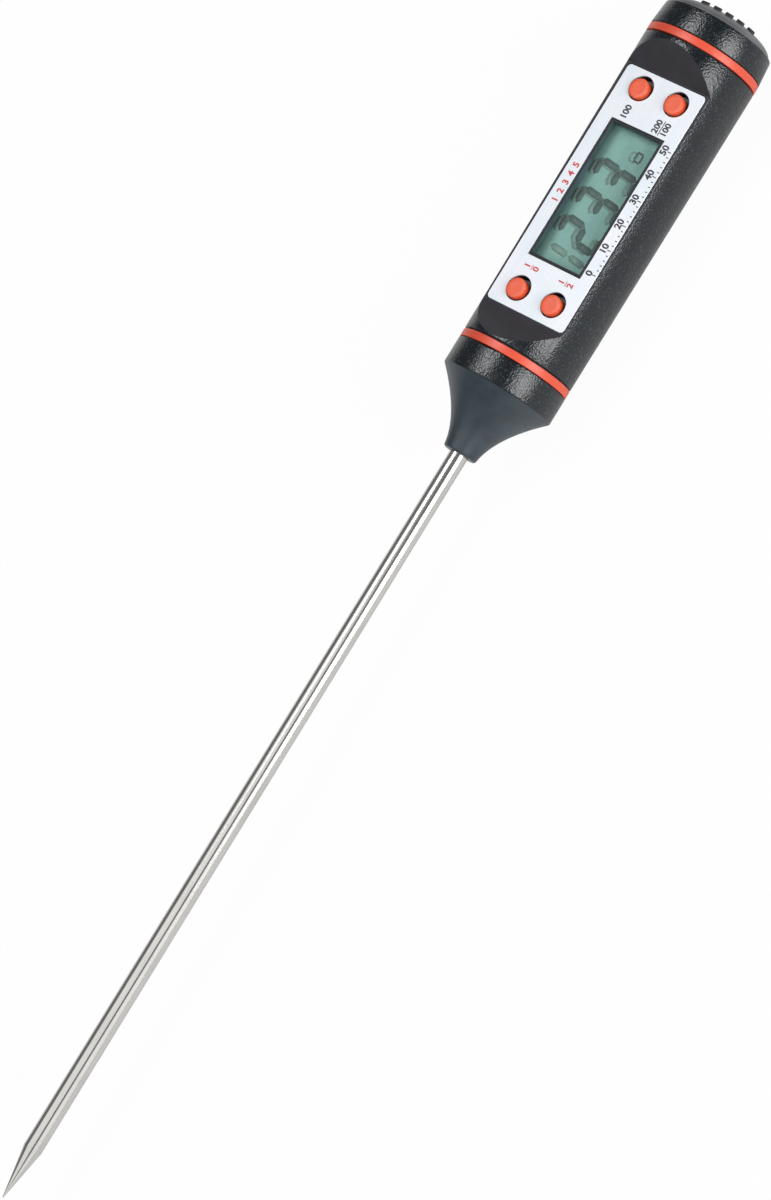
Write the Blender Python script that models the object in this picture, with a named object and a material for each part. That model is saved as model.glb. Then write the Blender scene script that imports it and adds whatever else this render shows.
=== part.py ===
"""Pen-type digital probe thermometer, built as separate pieces.

The probe lies along X with its point at the low end and the battery cap at the high end. The display and
the keys face +Z. All lengths are in metres. Stations along X are counted from the probe's point, and heights
from the handle's centre line, inside one parent empty that puts the part on the ground, centred.
"""

import math

import bmesh
import bpy
from mathutils import Matrix, Vector

# ------------------------------------------------------------------ clearances
SEAT_GAP = 0.00015          # between pieces that sit on or in each other
KEY_GAP = 0.0003            # round a key in its hole
KEY_STEM_GAP = 0.00025      # between a pressed key's stem and its switch
CAP_GAP = 0.00015           # round the cap's spigot in the handle
TUBE_GAP = 0.00005          # hairline between the probe's point and its tube

# ------------------------------------------------------------------ facets
BODY_SEGMENTS = 48          # round pieces of the handle's size
SMALL_SEGMENTS = 24         # keys, probe and other small round pieces

# ------------------------------------------------------------------ probe
PROBE_RADIUS = 0.00175
PROBE_WALL = 0.00035
PROBE_LENGTH = 0.150        # from the point to the nose
POINT_LENGTH = 0.0098       # ground cone
POINT_FLAT = 0.00012        # radius left at the very tip
POINT_SPIGOT = 0.003        # the point's plug inside the tube
HOLLOW_START = 0.0065       # from the point to the sensor's hollow
HOLLOW_WALL = 0.00045       # round the hollow in the point's plug
BEAD_RADIUS = 0.00042
BEAD_LENGTH = 0.0018
LEAD_RADIUS = 0.00016
LEAD_SPACING = 0.00056      # between the two leads' centres in the tube
LEAD_SPREAD = 0.002         # between their centres on the board
LEAD_BEND = 0.003           # from the tube's end to where the leads part
LEAD_LANDING = 0.0026       # how far the leads reach over the board

# ------------------------------------------------------------------ board and display stack
BOARD_THICKNESS = 0.001
BOARD_SIDE_MARGIN = 0.00025  # from the display's holder to the board's side
BOARD_FRONT_MARGIN = 0.0026  # from the front switches to the board's end
BOARD_REAR_MARGIN = 0.0017   # from the rear switches to the board's end
BOARD_CORNER = 0.001
BOARD_TO_SPIGOT = 0.0018    # from the board to the nose's spigot
BOARD_EDGE_ROOM = 0.00114   # from the board's corner to the bore
RAIL_HEIGHT = 0.0008
RAIL_GRIP = 0.0006          # how far a rail reaches under the board
STRIP_HEIGHT = 0.0023
STRIP_WIDTH = 0.0014
GLASS_THICKNESS = 0.00055
REFLECTOR_THICKNESS = 0.00015
LCD_LENGTH = 0.031
LCD_WIDTH = 0.0138
VIEW_END_MARGIN = 0.0016    # from the display glass's end to the opening in the face
VIEW_SIDE_MARGIN = 0.00107  # the same at its sides
FRAME_LINE = 0.00045        # width of the black frame
WINDOW_THICKNESS = 0.0008
WINDOW_OVERHANG = 0.0010    # how far the clear window reaches past its opening
HOLDER_SIDE_WALL = 0.0007
HOLDER_END_WALL = 0.0019
SCREW_RADIUS = 0.0006
SCREW_HEAD_RADIUS = 0.0011
SCREW_HEAD_HEIGHT = 0.0006
SCREW_LENGTH = 0.0026
BOSS_RADIUS = 0.0014
DROP_RADIUS = 0.0034        # black drop over the processor
DROP_HEIGHT = 0.0009
CRYSTAL_RADIUS = 0.001
CRYSTAL_LENGTH = 0.006
CRYSTAL_OFFSET = 0.010      # from the display's middle to the crystal's end
CRYSTAL_SIDE = 0.002        # from the middle line to the crystal
CHIP_LENGTH = 0.0032
CHIP_WIDTH = 0.0016
CHIP_HEIGHT = 0.0009
CHIP_OFFSET = 0.006         # from the display's middle to the capacitor

# ------------------------------------------------------------------ keys
KEY_RADIUS = 0.0020
KEY_PROUD = 0.00065         # height of a key above the label
KEY_EDGE = 0.00022          # rounding of its top edge
KEY_SPACING = 0.00794       # across the handle
KEY_TRAVEL = 0.0005
KEY_FLANGE = 0.0005         # how far the flange stands out of the key
KEY_FLANGE_THICKNESS = 0.0006
KEY_STEM_RADIUS = 0.0012
KEY_TO_HOLDER = 0.0004
SWITCH_SIZE = 0.0044
SWITCH_HEIGHT = 0.0016
PLUNGER_RADIUS = 0.0009
PLUNGER_DEPTH = 0.0008      # how far a plunger reaches into its switch
LABEL_END_MARGIN = 0.00355  # from the keys' centres to the label's end

# ------------------------------------------------------------------ handle
BODY_WALL = 0.00148
BODY_TAPER = 0.00032        # the handle grows by this radius towards the cap
CEILING_WALL = 0.0009       # between the label's pocket and the display
LABEL_THICKNESS = 0.0004
LABEL_CORNER = 0.0008
LABEL_LIP = 0.0003          # from the label to the handle's side
FRONT_RAMP = math.radians(40)
REAR_RAMP = math.radians(46)
FACE_MARGIN = 0.0003        # from the label's ends to the ramps
FRONT_BAND = 0.00045        # full round between the lower ring and the ramp
REAR_BAND = 0.0009          # full round between the ramp and the upper ring
NECK_WALL = 0.0008          # thin ends of the handle, inside the rings
RING_WIDTH = 0.00145
FLARE_LENGTH = 0.0126
FLARE_POWER = 1.7
NOSE_RIM = 0.00145          # wall of the nose at its small end
NOSE_EDGE = 0.00045
NOSE_WALL = 0.0016
COLLAR_LENGTH = 0.0050
NOSE_SPIGOT_WALL = 0.0014
PROBE_FIT = 0.0001          # round the tube where it passes through the nose
BUSH_WALL = 0.0015
BUSH_LENGTH = 0.0035
BUSH_START = 0.0062         # from the nose's small end

# ------------------------------------------------------------------ battery and cap
CELL_RADIUS = 0.0058
CELL_HEIGHT = 0.0054
CELL_DROP = 0.0012          # the cell's centre lies this far below the handle's
CELL_RIM = 0.0003           # steps of the cell's edges
CELL_HOLDER_FLOOR = 0.0008
CELL_ROOM = 0.0004          # between the cell and the cap's spigot
CELL_TOP_ROOM = 0.0005      # between the cell and the wall behind the rear ramp
CONTACT_TAB = 0.0012        # how far the contact leaves reach over the board
CONTACT_THICKNESS = 0.0002
CONTACT_WIDTH = 0.0024
SPIGOT_WALL = 0.0016
SPIGOT_LENGTH = 0.0022
SEAL_SECTION = 0.0009       # diameter of the O-ring's section
SEAL_GROOVE_DEPTH = 0.00092
CAP_SIDE_LENGTH = 0.00465
CAP_TAPER = 0.0004
CAP_EDGE = 0.0003
DOME_STEP = 0.00025         # flat ledge inside the cap's edge
DOME_HEIGHT = 0.00275
DOME_WALL = 0.0014
CAP_BOSS_RADIUS = 0.0025
RIB_HEIGHT = 0.0005
RIB_WIDTH = 0.0015
RIB_PITCH = 0.0023
RIB_COUNT = 5
RIB_REACH = 0.0080          # radius of the ribbed patch
RIB_TURN = math.radians(34)   # from +Z towards -Y

# ------------------------------------------------------------------ derived: heights above the centre line
BOARD_TOP = 0.0
STRIP_BOTTOM = BOARD_TOP + SEAT_GAP
GLASS_BOTTOM = STRIP_BOTTOM + STRIP_HEIGHT + SEAT_GAP
GLASS_TOP = GLASS_BOTTOM + GLASS_THICKNESS
WINDOW_BOTTOM = GLASS_TOP + SEAT_GAP
WINDOW_TOP = WINDOW_BOTTOM + WINDOW_THICKNESS
CEILING = WINDOW_TOP + SEAT_GAP
POCKET_FLOOR = CEILING + CEILING_WALL
LABEL_BOTTOM = POCKET_FLOOR + SEAT_GAP
LABEL_TOP = LABEL_BOTTOM + LABEL_THICKNESS
FACE_HEIGHT = LABEL_TOP
FACE_WALL = FACE_HEIGHT - CEILING
HOLDER_TOP = GLASS_TOP - SEAT_GAP

# ------------------------------------------------------------------ derived: widths of the display stack
HOLDER_WIDTH = LCD_WIDTH + 2 * (SEAT_GAP + HOLDER_SIDE_WALL)
BOARD_WIDTH = HOLDER_WIDTH + 2 * BOARD_SIDE_MARGIN
STRIP_OFFSET = LCD_WIDTH / 2 - STRIP_WIDTH / 2 - SEAT_GAP
REAR_GLASS_WIDTH = 2 * (STRIP_OFFSET - STRIP_WIDTH / 2 - SEAT_GAP)
VIEW_LENGTH = LCD_LENGTH - 2 * VIEW_END_MARGIN
VIEW_WIDTH = LCD_WIDTH - 2 * VIEW_SIDE_MARGIN

# ------------------------------------------------------------------ derived: radii
CAP_CAVITY_RADIUS = CELL_DROP + CELL_RADIUS + CELL_ROOM
BORE_RADIUS = max(
    math.hypot(BOARD_WIDTH / 2, BOARD_THICKNESS) + BOARD_EDGE_ROOM,
    CAP_CAVITY_RADIUS + SPIGOT_WALL + CAP_GAP,
)
FRONT_RADIUS = BORE_RADIUS + BODY_WALL
REAR_RADIUS = FRONT_RADIUS + BODY_TAPER
NECK_RADIUS = BORE_RADIUS + NECK_WALL
NOSE_TIP_RADIUS = PROBE_RADIUS + NOSE_RIM
SPIGOT_RADIUS = BORE_RADIUS - CAP_GAP
SEAL_RADIUS = BORE_RADIUS - 0.5 * CAP_GAP - SEAL_SECTION / 2
DOME_REACH = REAR_RADIUS - CAP_TAPER - CAP_EDGE - DOME_STEP
AXIS_HEIGHT = REAR_RADIUS * math.cos(math.pi / BODY_SEGMENTS)

# ------------------------------------------------------------------ derived: lengths and stations along X
HOLDER_LENGTH = LCD_LENGTH + 2 * (SEAT_GAP + HOLDER_END_WALL)
KEY_OFFSET = HOLDER_LENGTH / 2 + KEY_TO_HOLDER + KEY_RADIUS + KEY_FLANGE
LABEL_LENGTH = 2 * (KEY_OFFSET + LABEL_END_MARGIN)
FRONT_RAMP_RUN = (FRONT_RADIUS - FACE_HEIGHT) / math.tan(FRONT_RAMP)
REAR_RAMP_RUN = (REAR_RADIUS - FACE_HEIGHT) / math.tan(REAR_RAMP)
FLARE_END = PROBE_LENGTH + FLARE_LENGTH
COLLAR_END = FLARE_END + COLLAR_LENGTH
LOWER_RING_START = COLLAR_END + SEAT_GAP
BODY_START = LOWER_RING_START + RING_WIDTH + SEAT_GAP
FACE_START = BODY_START + FRONT_BAND + FRONT_RAMP_RUN
LABEL_START = FACE_START + FACE_MARGIN
FACE_CENTRE = LABEL_START + LABEL_LENGTH / 2
LABEL_END = LABEL_START + LABEL_LENGTH
FACE_END = LABEL_END + FACE_MARGIN
BODY_END = FACE_END + REAR_RAMP_RUN + REAR_BAND
UPPER_RING_START = BODY_END + SEAT_GAP
CAP_START = UPPER_RING_START + RING_WIDTH + SEAT_GAP
CAP_RIM = CAP_START + CAP_SIDE_LENGTH
DOME_TOP = CAP_RIM + DOME_HEIGHT
TOTAL_LENGTH = DOME_TOP + RIB_HEIGHT
LABEL_WIDTH = 2 * (math.sqrt(FRONT_RADIUS**2 - FACE_HEIGHT**2) - LABEL_LIP)
SWITCH_OFFSET = KEY_OFFSET + SWITCH_SIZE / 2
BOARD_START = FACE_CENTRE - SWITCH_OFFSET - BOARD_FRONT_MARGIN
BOARD_END = FACE_CENTRE + SWITCH_OFFSET + BOARD_REAR_MARGIN
NOSE_SPIGOT_END = BOARD_START - BOARD_TO_SPIGOT
CELL_HOLDER_START = BOARD_END + SEAT_GAP
CELL_TOP = CELL_RADIUS - CELL_DROP + CELL_TOP_ROOM
RAMP_CLEAR = FACE_END + FACE_WALL * math.tan(REAR_RAMP / 2) + (CELL_TOP - CEILING) / math.tan(REAR_RAMP)
CELL_SEAT_ROOM = CONTACT_THICKNESS + 2 * SEAT_GAP
CELL_START = max(CELL_HOLDER_START + CELL_HOLDER_FLOOR + CELL_SEAT_ROOM, RAMP_CLEAR)
CELL_FLOOR = CELL_START - CELL_SEAT_ROOM
CELL_END = CELL_START + CELL_HEIGHT
SPIGOT_START = CAP_START - SPIGOT_LENGTH
CELL_HOLDER_END = SPIGOT_START - 2 * SEAT_GAP
SCREW_OFFSET = HOLDER_LENGTH / 2 - HOLDER_END_WALL + BOSS_RADIUS
TUBE_END = PROBE_LENGTH + BUSH_START + BUSH_LENGTH


def body_radius(station):
    """The handle's outer radius at a station between the nose and the battery cap."""
    share = (station - FLARE_END) / (CAP_START - FLARE_END)
    return FRONT_RADIUS + share * BODY_TAPER


# ------------------------------------------------------------------ scene helpers
def clear_scene():
    """Removes every object, so that the script can run again in an open file."""
    for obj in list(bpy.data.objects):
        bpy.data.objects.remove(obj, do_unlink=True)


def make_material(name, color, roughness, metallic=0.0, alpha=1.0):
    """A Principled material of one colour."""
    material = bpy.data.materials.new(name)
    material.use_nodes = True
    shader = material.node_tree.nodes["Principled BSDF"]
    shader.inputs["Base Color"].default_value = (*color, 1.0)
    shader.inputs["Roughness"].default_value = roughness
    shader.inputs["Metallic"].default_value = metallic
    shader.inputs["Alpha"].default_value = alpha
    return material


def add_object(name, data, parent, material=None, place=(0, 0, 0)):
    """Links an object to the scene under its parent, at a place counted from that parent."""
    obj = bpy.data.objects.new(name, data)
    bpy.context.scene.collection.objects.link(obj)
    obj.parent = parent
    obj.location = place
    if material is not None:
        data.materials.append(material)
    return obj


def finish_mesh(name, bm):
    """Turns a bmesh into a mesh with outward faces, smooth but for its sharp edges."""
    bmesh.ops.recalc_face_normals(bm, faces=bm.faces)
    mesh = bpy.data.meshes.new(name)
    bm.to_mesh(mesh)
    bm.free()
    mesh.shade_smooth()
    mesh.set_sharp_from_angle(angle=math.radians(35))
    return mesh


def as_cutter(obj):
    """Marks an object that only shapes others."""
    obj.hide_render = True
    obj.display_type = "WIRE"
    return obj


def combine(target, tool, operation="DIFFERENCE", solver="EXACT"):
    """Cuts, joins or trims a target with another object."""
    modifier = target.modifiers.new(tool.name, "BOOLEAN")
    modifier.operation = operation
    modifier.solver = solver
    modifier.object = tool


# ------------------------------------------------------------------ mesh helpers
def arc(centre, radius, start, end, steps):
    """Points of an arc as (station, radius) pairs, from one angle to another in degrees."""
    points = []
    for step in range(steps + 1):
        angle = math.radians(start + (end - start) * step / steps)
        points.append((centre[0] + radius * math.cos(angle), centre[1] + radius * math.sin(angle)))
    return points


def lathe(name, profile, segments, along="X"):
    """Turns (station, radius) points about X or Z. A profile that starts off the axis closes on itself."""
    bm = bmesh.new()
    half = math.pi / segments
    verts = [bm.verts.new((s, r * math.cos(half), r * math.sin(half))) for s, r in profile]
    pairs = list(zip(verts, verts[1:]))
    if profile[0][1] > 0:
        pairs.append((verts[-1], verts[0]))
    edges = [bm.edges.new(pair) for pair in pairs]
    bmesh.ops.spin(bm, geom=verts + edges, cent=(0, 0, 0), axis=(1, 0, 0), angle=2 * math.pi, steps=segments)
    bmesh.ops.remove_doubles(bm, verts=bm.verts, dist=1e-7)
    if along == "Z":
        bmesh.ops.rotate(bm, verts=bm.verts, cent=(0, 0, 0), matrix=Matrix.Rotation(-math.pi / 2, 3, "Y"))
    return finish_mesh(name, bm)


def prism(name, outline, low, high, along="Z"):
    """Extrudes an outline. Along Z it is an outline in X and Y; along Y, in X and Z."""
    bm = bmesh.new()
    if along == "Z":
        corners = [bm.verts.new((a, b, low)) for a, b in outline]
        push = Vector((0, 0, high - low))
    else:
        corners = [bm.verts.new((a, low, b)) for a, b in outline]
        push = Vector((0, high - low, 0))
    face = bm.faces.new(corners)
    grown = bmesh.ops.extrude_face_region(bm, geom=[face])["geom"]
    moved = [item for item in grown if isinstance(item, bmesh.types.BMVert)]
    bmesh.ops.translate(bm, verts=moved, vec=push)
    return finish_mesh(name, bm)


def rectangle(x_low, x_high, width, corner=0.0, steps=4, middle=0.0):
    """An outline of a rectangle centred on a line Y = middle, with round corners if a radius is given."""
    half = width / 2
    if corner <= 0:
        low, high = middle - half, middle + half
        return [(x_low, low), (x_high, low), (x_high, high), (x_low, high)]
    centres = [
        ((x_high - corner, middle + half - corner), 0),
        ((x_low + corner, middle + half - corner), 90),
        ((x_low + corner, middle - half + corner), 180),
        ((x_high - corner, middle - half + corner), 270),
    ]
    points = []
    for centre, start in centres:
        points += arc(centre, corner, start, start + 90, steps)
    return points


def box(name, x_range, y_range, z_range):
    """A plain block between three pairs of limits."""
    outline = rectangle(x_range[0], x_range[1], y_range[1] - y_range[0], middle=sum(y_range) / 2)
    return prism(name, outline, z_range[0], z_range[1])


def scoop_mesh(name, depth):
    """The space cut off the round handle by its flat face and two ramps, sunk by a wall's depth."""
    top = REAR_RADIUS + BODY_WALL
    floor = FACE_HEIGHT - depth
    front = FACE_START - depth * math.tan(FRONT_RAMP / 2)
    rear = FACE_END + depth * math.tan(REAR_RAMP / 2)
    outline = [
        (front, floor),
        (rear, floor),
        (rear + (top - floor) / math.tan(REAR_RAMP), top),
        (front - (top - floor) / math.tan(FRONT_RAMP), top),
    ]
    return prism(name, outline, -top, top, along="Y")


# ------------------------------------------------------------------ the handle and its trim
def build_main_housing(parent, material):
    """The tube with its flat face, pocket, window, key holes, thin ends and board rails."""
    neck_front = LOWER_RING_START
    neck_rear = CAP_START - SEAT_GAP
    outside = [
        (neck_front, 0.0),
        (neck_front, NECK_RADIUS),
        (BODY_START, NECK_RADIUS),
        (BODY_START, body_radius(BODY_START)),
        (BODY_END, body_radius(BODY_END)),
        (BODY_END, NECK_RADIUS),
        (neck_rear, NECK_RADIUS),
        (neck_rear, 0.0),
    ]
    housing = add_object("main_housing", lathe("main_housing", outside, BODY_SEGMENTS), parent, material)

    scoop = as_cutter(add_object("cut_face", scoop_mesh("cut_face", 0.0), parent))
    combine(housing, scoop)

    bore_profile = [
        (neck_front - BODY_WALL, 0.0),
        (neck_front - BODY_WALL, BORE_RADIUS),
        (neck_rear + BODY_WALL, BORE_RADIUS),
        (neck_rear + BODY_WALL, 0.0),
    ]
    bore = as_cutter(add_object("cut_bore", lathe("cut_bore", bore_profile, BODY_SEGMENTS), parent))
    wall = as_cutter(add_object("keep_face_wall", scoop_mesh("keep_face_wall", FACE_WALL), parent))
    combine(bore, wall)
    rail_top = BOARD_TOP - BOARD_THICKNESS - SEAT_GAP
    for side, label in ((1, "left"), (-1, "right")):
        inner = side * (BOARD_WIDTH / 2 - RAIL_GRIP)
        outer = side * (BORE_RADIUS + BODY_WALL / 2)
        y_range = (min(inner, outer), max(inner, outer))
        z_range = (rail_top - RAIL_HEIGHT, rail_top)
        rail_mesh = box(f"keep_rail_{label}", (BOARD_START, BOARD_END), y_range, z_range)
        combine(bore, as_cutter(add_object(f"keep_rail_{label}", rail_mesh, parent)))
    combine(housing, bore, solver="MANIFOLD")

    pocket_outline = rectangle(
        LABEL_START - SEAT_GAP, LABEL_END + SEAT_GAP, LABEL_WIDTH + 2 * SEAT_GAP, LABEL_CORNER
    )
    pocket_mesh = prism("cut_pocket", pocket_outline, POCKET_FLOOR, FACE_HEIGHT + BODY_WALL)
    combine(housing, as_cutter(add_object("cut_pocket", pocket_mesh, parent)))
    window_half = VIEW_LENGTH / 2 + SEAT_GAP
    window_outline = rectangle(
        FACE_CENTRE - window_half, FACE_CENTRE + window_half, VIEW_WIDTH + 2 * SEAT_GAP
    )
    window_mesh = prism("cut_window", window_outline, CEILING - BODY_WALL, LABEL_TOP + BODY_WALL)
    window = as_cutter(add_object("cut_window", window_mesh, parent))
    combine(housing, window)
    key_cutters = []
    hole_radius = KEY_RADIUS + KEY_GAP
    hole_profile = [
        (CEILING - BODY_WALL, 0.0),
        (CEILING - BODY_WALL, hole_radius),
        (LABEL_TOP + BODY_WALL, hole_radius),
        (LABEL_TOP + BODY_WALL, 0.0),
    ]
    for name, x, y in key_places():
        mesh = lathe(f"cut_{name}", hole_profile, SMALL_SEGMENTS, along="Z")
        cutter = as_cutter(add_object(f"cut_{name}", mesh, parent, place=(x, y, 0)))
        combine(housing, cutter)
        key_cutters.append(cutter)
    return [window] + key_cutters


def build_nose_cone(parent, material):
    """Flared nose, its collar, and the spigot that plugs into the handle under the front ramp."""
    collar_radius = body_radius(COLLAR_END)
    rise = FRONT_RADIUS - NOSE_TIP_RADIUS
    outer = arc((PROBE_LENGTH + NOSE_EDGE, NOSE_TIP_RADIUS - NOSE_EDGE), NOSE_EDGE, 180, 90, 3)
    steps = 12
    for step in range(1, steps + 1):
        share = step / steps
        outer.append((PROBE_LENGTH + FLARE_LENGTH * share, NOSE_TIP_RADIUS + rise * share**FLARE_POWER))
    outer += [(COLLAR_END, collar_radius), (COLLAR_END, BORE_RADIUS - SEAT_GAP)]
    spigot_inner = BORE_RADIUS - SEAT_GAP - NOSE_SPIGOT_WALL
    seat_radius = PROBE_RADIUS + BUSH_WALL + SEAT_GAP
    seat_start = PROBE_LENGTH + BUSH_START - SEAT_GAP
    seat_end = TUBE_END + SEAT_GAP
    hole = PROBE_RADIUS + PROBE_FIT
    inner = [
        (NOSE_SPIGOT_END, BORE_RADIUS - SEAT_GAP),
        (NOSE_SPIGOT_END, spigot_inner),
        (FLARE_END + NOSE_WALL, spigot_inner),
        (seat_end, seat_radius),
        (seat_start, seat_radius),
        (seat_start, hole),
        (PROBE_LENGTH, hole),
    ]
    nose = add_object("nose_cone", lathe("nose_cone", outer + inner, BODY_SEGMENTS), parent, material)
    relief_mesh = scoop_mesh("cut_spigot", FACE_WALL + SEAT_GAP)
    combine(nose, as_cutter(add_object("cut_spigot", relief_mesh, parent)))


def build_ring(parent, material, name, start):
    """A coloured trim ring on one of the handle's thin ends."""
    end = start + RING_WIDTH
    inner = NECK_RADIUS + SEAT_GAP
    profile = [(start, inner), (start, body_radius(start)), (end, body_radius(end)), (end, inner)]
    add_object(name, lathe(name, profile, BODY_SEGMENTS), parent, material)


# ------------------------------------------------------------------ the face
def build_label(parent, material, cutters):
    """The thin face label, pierced for the display and the keys."""
    outline = rectangle(LABEL_START, LABEL_END, LABEL_WIDTH, LABEL_CORNER)
    plate = prism("label_plate", outline, LABEL_BOTTOM, LABEL_TOP)
    label = add_object("label_plate", plate, parent, material)
    for cutter in cutters:
        combine(label, cutter)


def build_window_frame(parent, material, z_range):
    """The thin black frame that lines the display opening."""
    outline = rectangle(FACE_CENTRE - VIEW_LENGTH / 2, FACE_CENTRE + VIEW_LENGTH / 2, VIEW_WIDTH)
    frame = add_object("window_frame", prism("window_frame", outline, *z_range), parent, material)
    hole_half = VIEW_LENGTH / 2 - FRAME_LINE
    hole = rectangle(FACE_CENTRE - hole_half, FACE_CENTRE + hole_half, VIEW_WIDTH - 2 * FRAME_LINE)
    hole_mesh = prism("cut_window_frame", hole, z_range[0] - WINDOW_THICKNESS, z_range[1] + WINDOW_THICKNESS)
    combine(frame, as_cutter(add_object("cut_window_frame", hole_mesh, parent)))


def slab(name, length, width, z_range, parent, material, middle=0.0):
    """A plain plate centred on the display's station."""
    outline = rectangle(FACE_CENTRE - length / 2, FACE_CENTRE + length / 2, width, middle=middle)
    return add_object(name, prism(name, outline, *z_range), parent, material)


def build_display(parent, looks):
    """Black frame, clear window, the two glasses, the reflector, the contact strips and the holder."""
    frame_range = (WINDOW_TOP + SEAT_GAP, LABEL_TOP)
    build_window_frame(parent, looks["black"], frame_range)
    window_length = VIEW_LENGTH + 2 * WINDOW_OVERHANG
    window_width = VIEW_WIDTH + 2 * WINDOW_OVERHANG
    slab("display_window", window_length, window_width, (WINDOW_BOTTOM, WINDOW_TOP), parent, looks["clear"])
    slab("lcd_front_glass", LCD_LENGTH, LCD_WIDTH, (GLASS_BOTTOM, GLASS_TOP), parent, looks["lcd"])
    rear_top = GLASS_BOTTOM - SEAT_GAP
    rear_bottom = rear_top - GLASS_THICKNESS
    slab("lcd_rear_glass", LCD_LENGTH, REAR_GLASS_WIDTH, (rear_bottom, rear_top), parent, looks["lcd"])
    foil_top = rear_bottom - SEAT_GAP
    foil_range = (foil_top - REFLECTOR_THICKNESS, foil_top)
    slab("lcd_reflector", LCD_LENGTH, REAR_GLASS_WIDTH, foil_range, parent, looks["silver"])
    strip_range = (STRIP_BOTTOM, STRIP_BOTTOM + STRIP_HEIGHT)
    for side, label in ((1, "left"), (-1, "right")):
        name = f"contact_strip_{label}"
        middle = side * STRIP_OFFSET
        slab(name, LCD_LENGTH, STRIP_WIDTH, strip_range, parent, looks["elastomer"], middle)
    build_lcd_holder(parent, looks["white"])


def build_lcd_holder(parent, material):
    """Frame round the display cell, with a boss for a screw at each end."""
    half_length, half_width = HOLDER_LENGTH / 2, HOLDER_WIDTH / 2
    spread = math.degrees(math.acos((half_length - SCREW_OFFSET) / BOSS_RADIUS))
    outline = [(FACE_CENTRE + half_length, -half_width)]
    outline += arc((FACE_CENTRE + SCREW_OFFSET, 0), BOSS_RADIUS, -spread, spread, 6)
    outline += [(FACE_CENTRE + half_length, half_width), (FACE_CENTRE - half_length, half_width)]
    outline += arc((FACE_CENTRE - SCREW_OFFSET, 0), BOSS_RADIUS, 180 - spread, 180 + spread, 6)
    outline += [(FACE_CENTRE - half_length, -half_width)]
    frame = prism("lcd_holder", outline, STRIP_BOTTOM, HOLDER_TOP)
    holder = add_object("lcd_holder", frame, parent, material)
    well_length = HOLDER_LENGTH - 2 * HOLDER_END_WALL
    well_width = HOLDER_WIDTH - 2 * HOLDER_SIDE_WALL
    well = rectangle(FACE_CENTRE - well_length / 2, FACE_CENTRE + well_length / 2, well_width)
    well_mesh = prism("cut_lcd_holder", well, STRIP_BOTTOM - BOARD_THICKNESS, HOLDER_TOP + BOARD_THICKNESS)
    combine(holder, as_cutter(add_object("cut_lcd_holder", well_mesh, parent)))
    pilot_radius = SCREW_RADIUS + SEAT_GAP / 2
    pilot_top = SCREW_LENGTH - BOARD_THICKNESS
    pilot = [
        (-BOARD_THICKNESS, 0.0),
        (-BOARD_THICKNESS, pilot_radius),
        (pilot_top, pilot_radius),
        (pilot_top, 0.0),
    ]
    for side, label in ((-1, "front"), (1, "rear")):
        place = (FACE_CENTRE + side * SCREW_OFFSET, 0, BOARD_TOP)
        pilot_mesh = lathe(f"cut_pilot_{label}", pilot, SMALL_SEGMENTS, along="Z")
        combine(holder, as_cutter(add_object(f"cut_pilot_{label}", pilot_mesh, parent, place=place)))


# ------------------------------------------------------------------ keys
def key_places():
    """Name, station and side of each key."""
    near, far = FACE_CENTRE - KEY_OFFSET, FACE_CENTRE + KEY_OFFSET
    side = KEY_SPACING / 2
    return [("power", near, side), ("unit", near, -side), ("hold", far, side), ("memory", far, -side)]


def build_keys(parent, key_material, switch_material, plunger_material):
    """For each key: the moving button and plunger, on an empty on its joint's axis, and the fixed switch."""
    top = LABEL_TOP + KEY_PROUD
    flange_top = CEILING - SEAT_GAP
    flange_bottom = flange_top - KEY_FLANGE_THICKNESS
    switch_bottom = BOARD_TOP + SEAT_GAP
    switch_top = switch_bottom + SWITCH_HEIGHT
    plunger_bottom = switch_top - PLUNGER_DEPTH
    stem_bottom = switch_top + KEY_TRAVEL + KEY_STEM_GAP
    plunger_top = stem_bottom - SEAT_GAP
    edge = arc((top - KEY_EDGE, KEY_RADIUS - KEY_EDGE), KEY_EDGE, 90, 0, 3)
    button_profile = [
        (stem_bottom, 0.0),
        (stem_bottom, KEY_STEM_RADIUS),
        (flange_bottom, KEY_STEM_RADIUS),
        (flange_bottom, KEY_RADIUS + KEY_FLANGE),
        (flange_top, KEY_RADIUS + KEY_FLANGE),
        (flange_top, KEY_RADIUS),
    ]
    button_profile += edge + [(top, 0.0)]
    plunger_profile = [
        (plunger_bottom, 0.0),
        (plunger_bottom, PLUNGER_RADIUS),
        (plunger_top, PLUNGER_RADIUS),
        (plunger_top, 0.0),
    ]
    bore_radius = PLUNGER_RADIUS + SEAT_GAP
    bore_bottom = plunger_bottom - KEY_TRAVEL - SEAT_GAP
    bore_profile = [
        (bore_bottom, 0.0),
        (bore_bottom, bore_radius),
        (switch_top + SWITCH_HEIGHT, bore_radius),
        (switch_top + SWITCH_HEIGHT, 0.0),
    ]
    half = SWITCH_SIZE / 2
    for name, x, y in key_places():
        stand = add_object(f"{name}_key_axis", None, parent, place=(x, y, 0))
        button_mesh = lathe(f"{name}_button", button_profile, SMALL_SEGMENTS, "Z")
        add_object(f"{name}_button", button_mesh, stand, key_material)
        plunger_mesh = lathe(f"{name}_plunger", plunger_profile, SMALL_SEGMENTS, "Z")
        add_object(f"{name}_plunger", plunger_mesh, stand, plunger_material)
        z_range = (switch_bottom, switch_top)
        switch_mesh = box(f"{name}_switch", (x - half, x + half), (y - half, y + half), z_range)
        switch = add_object(f"{name}_switch", switch_mesh, parent, switch_material)
        cutter_mesh = lathe(f"cut_{name}_switch", bore_profile, SMALL_SEGMENTS, "Z")
        combine(switch, as_cutter(add_object(f"cut_{name}_switch", cutter_mesh, parent, place=(x, y, 0))))


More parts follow.
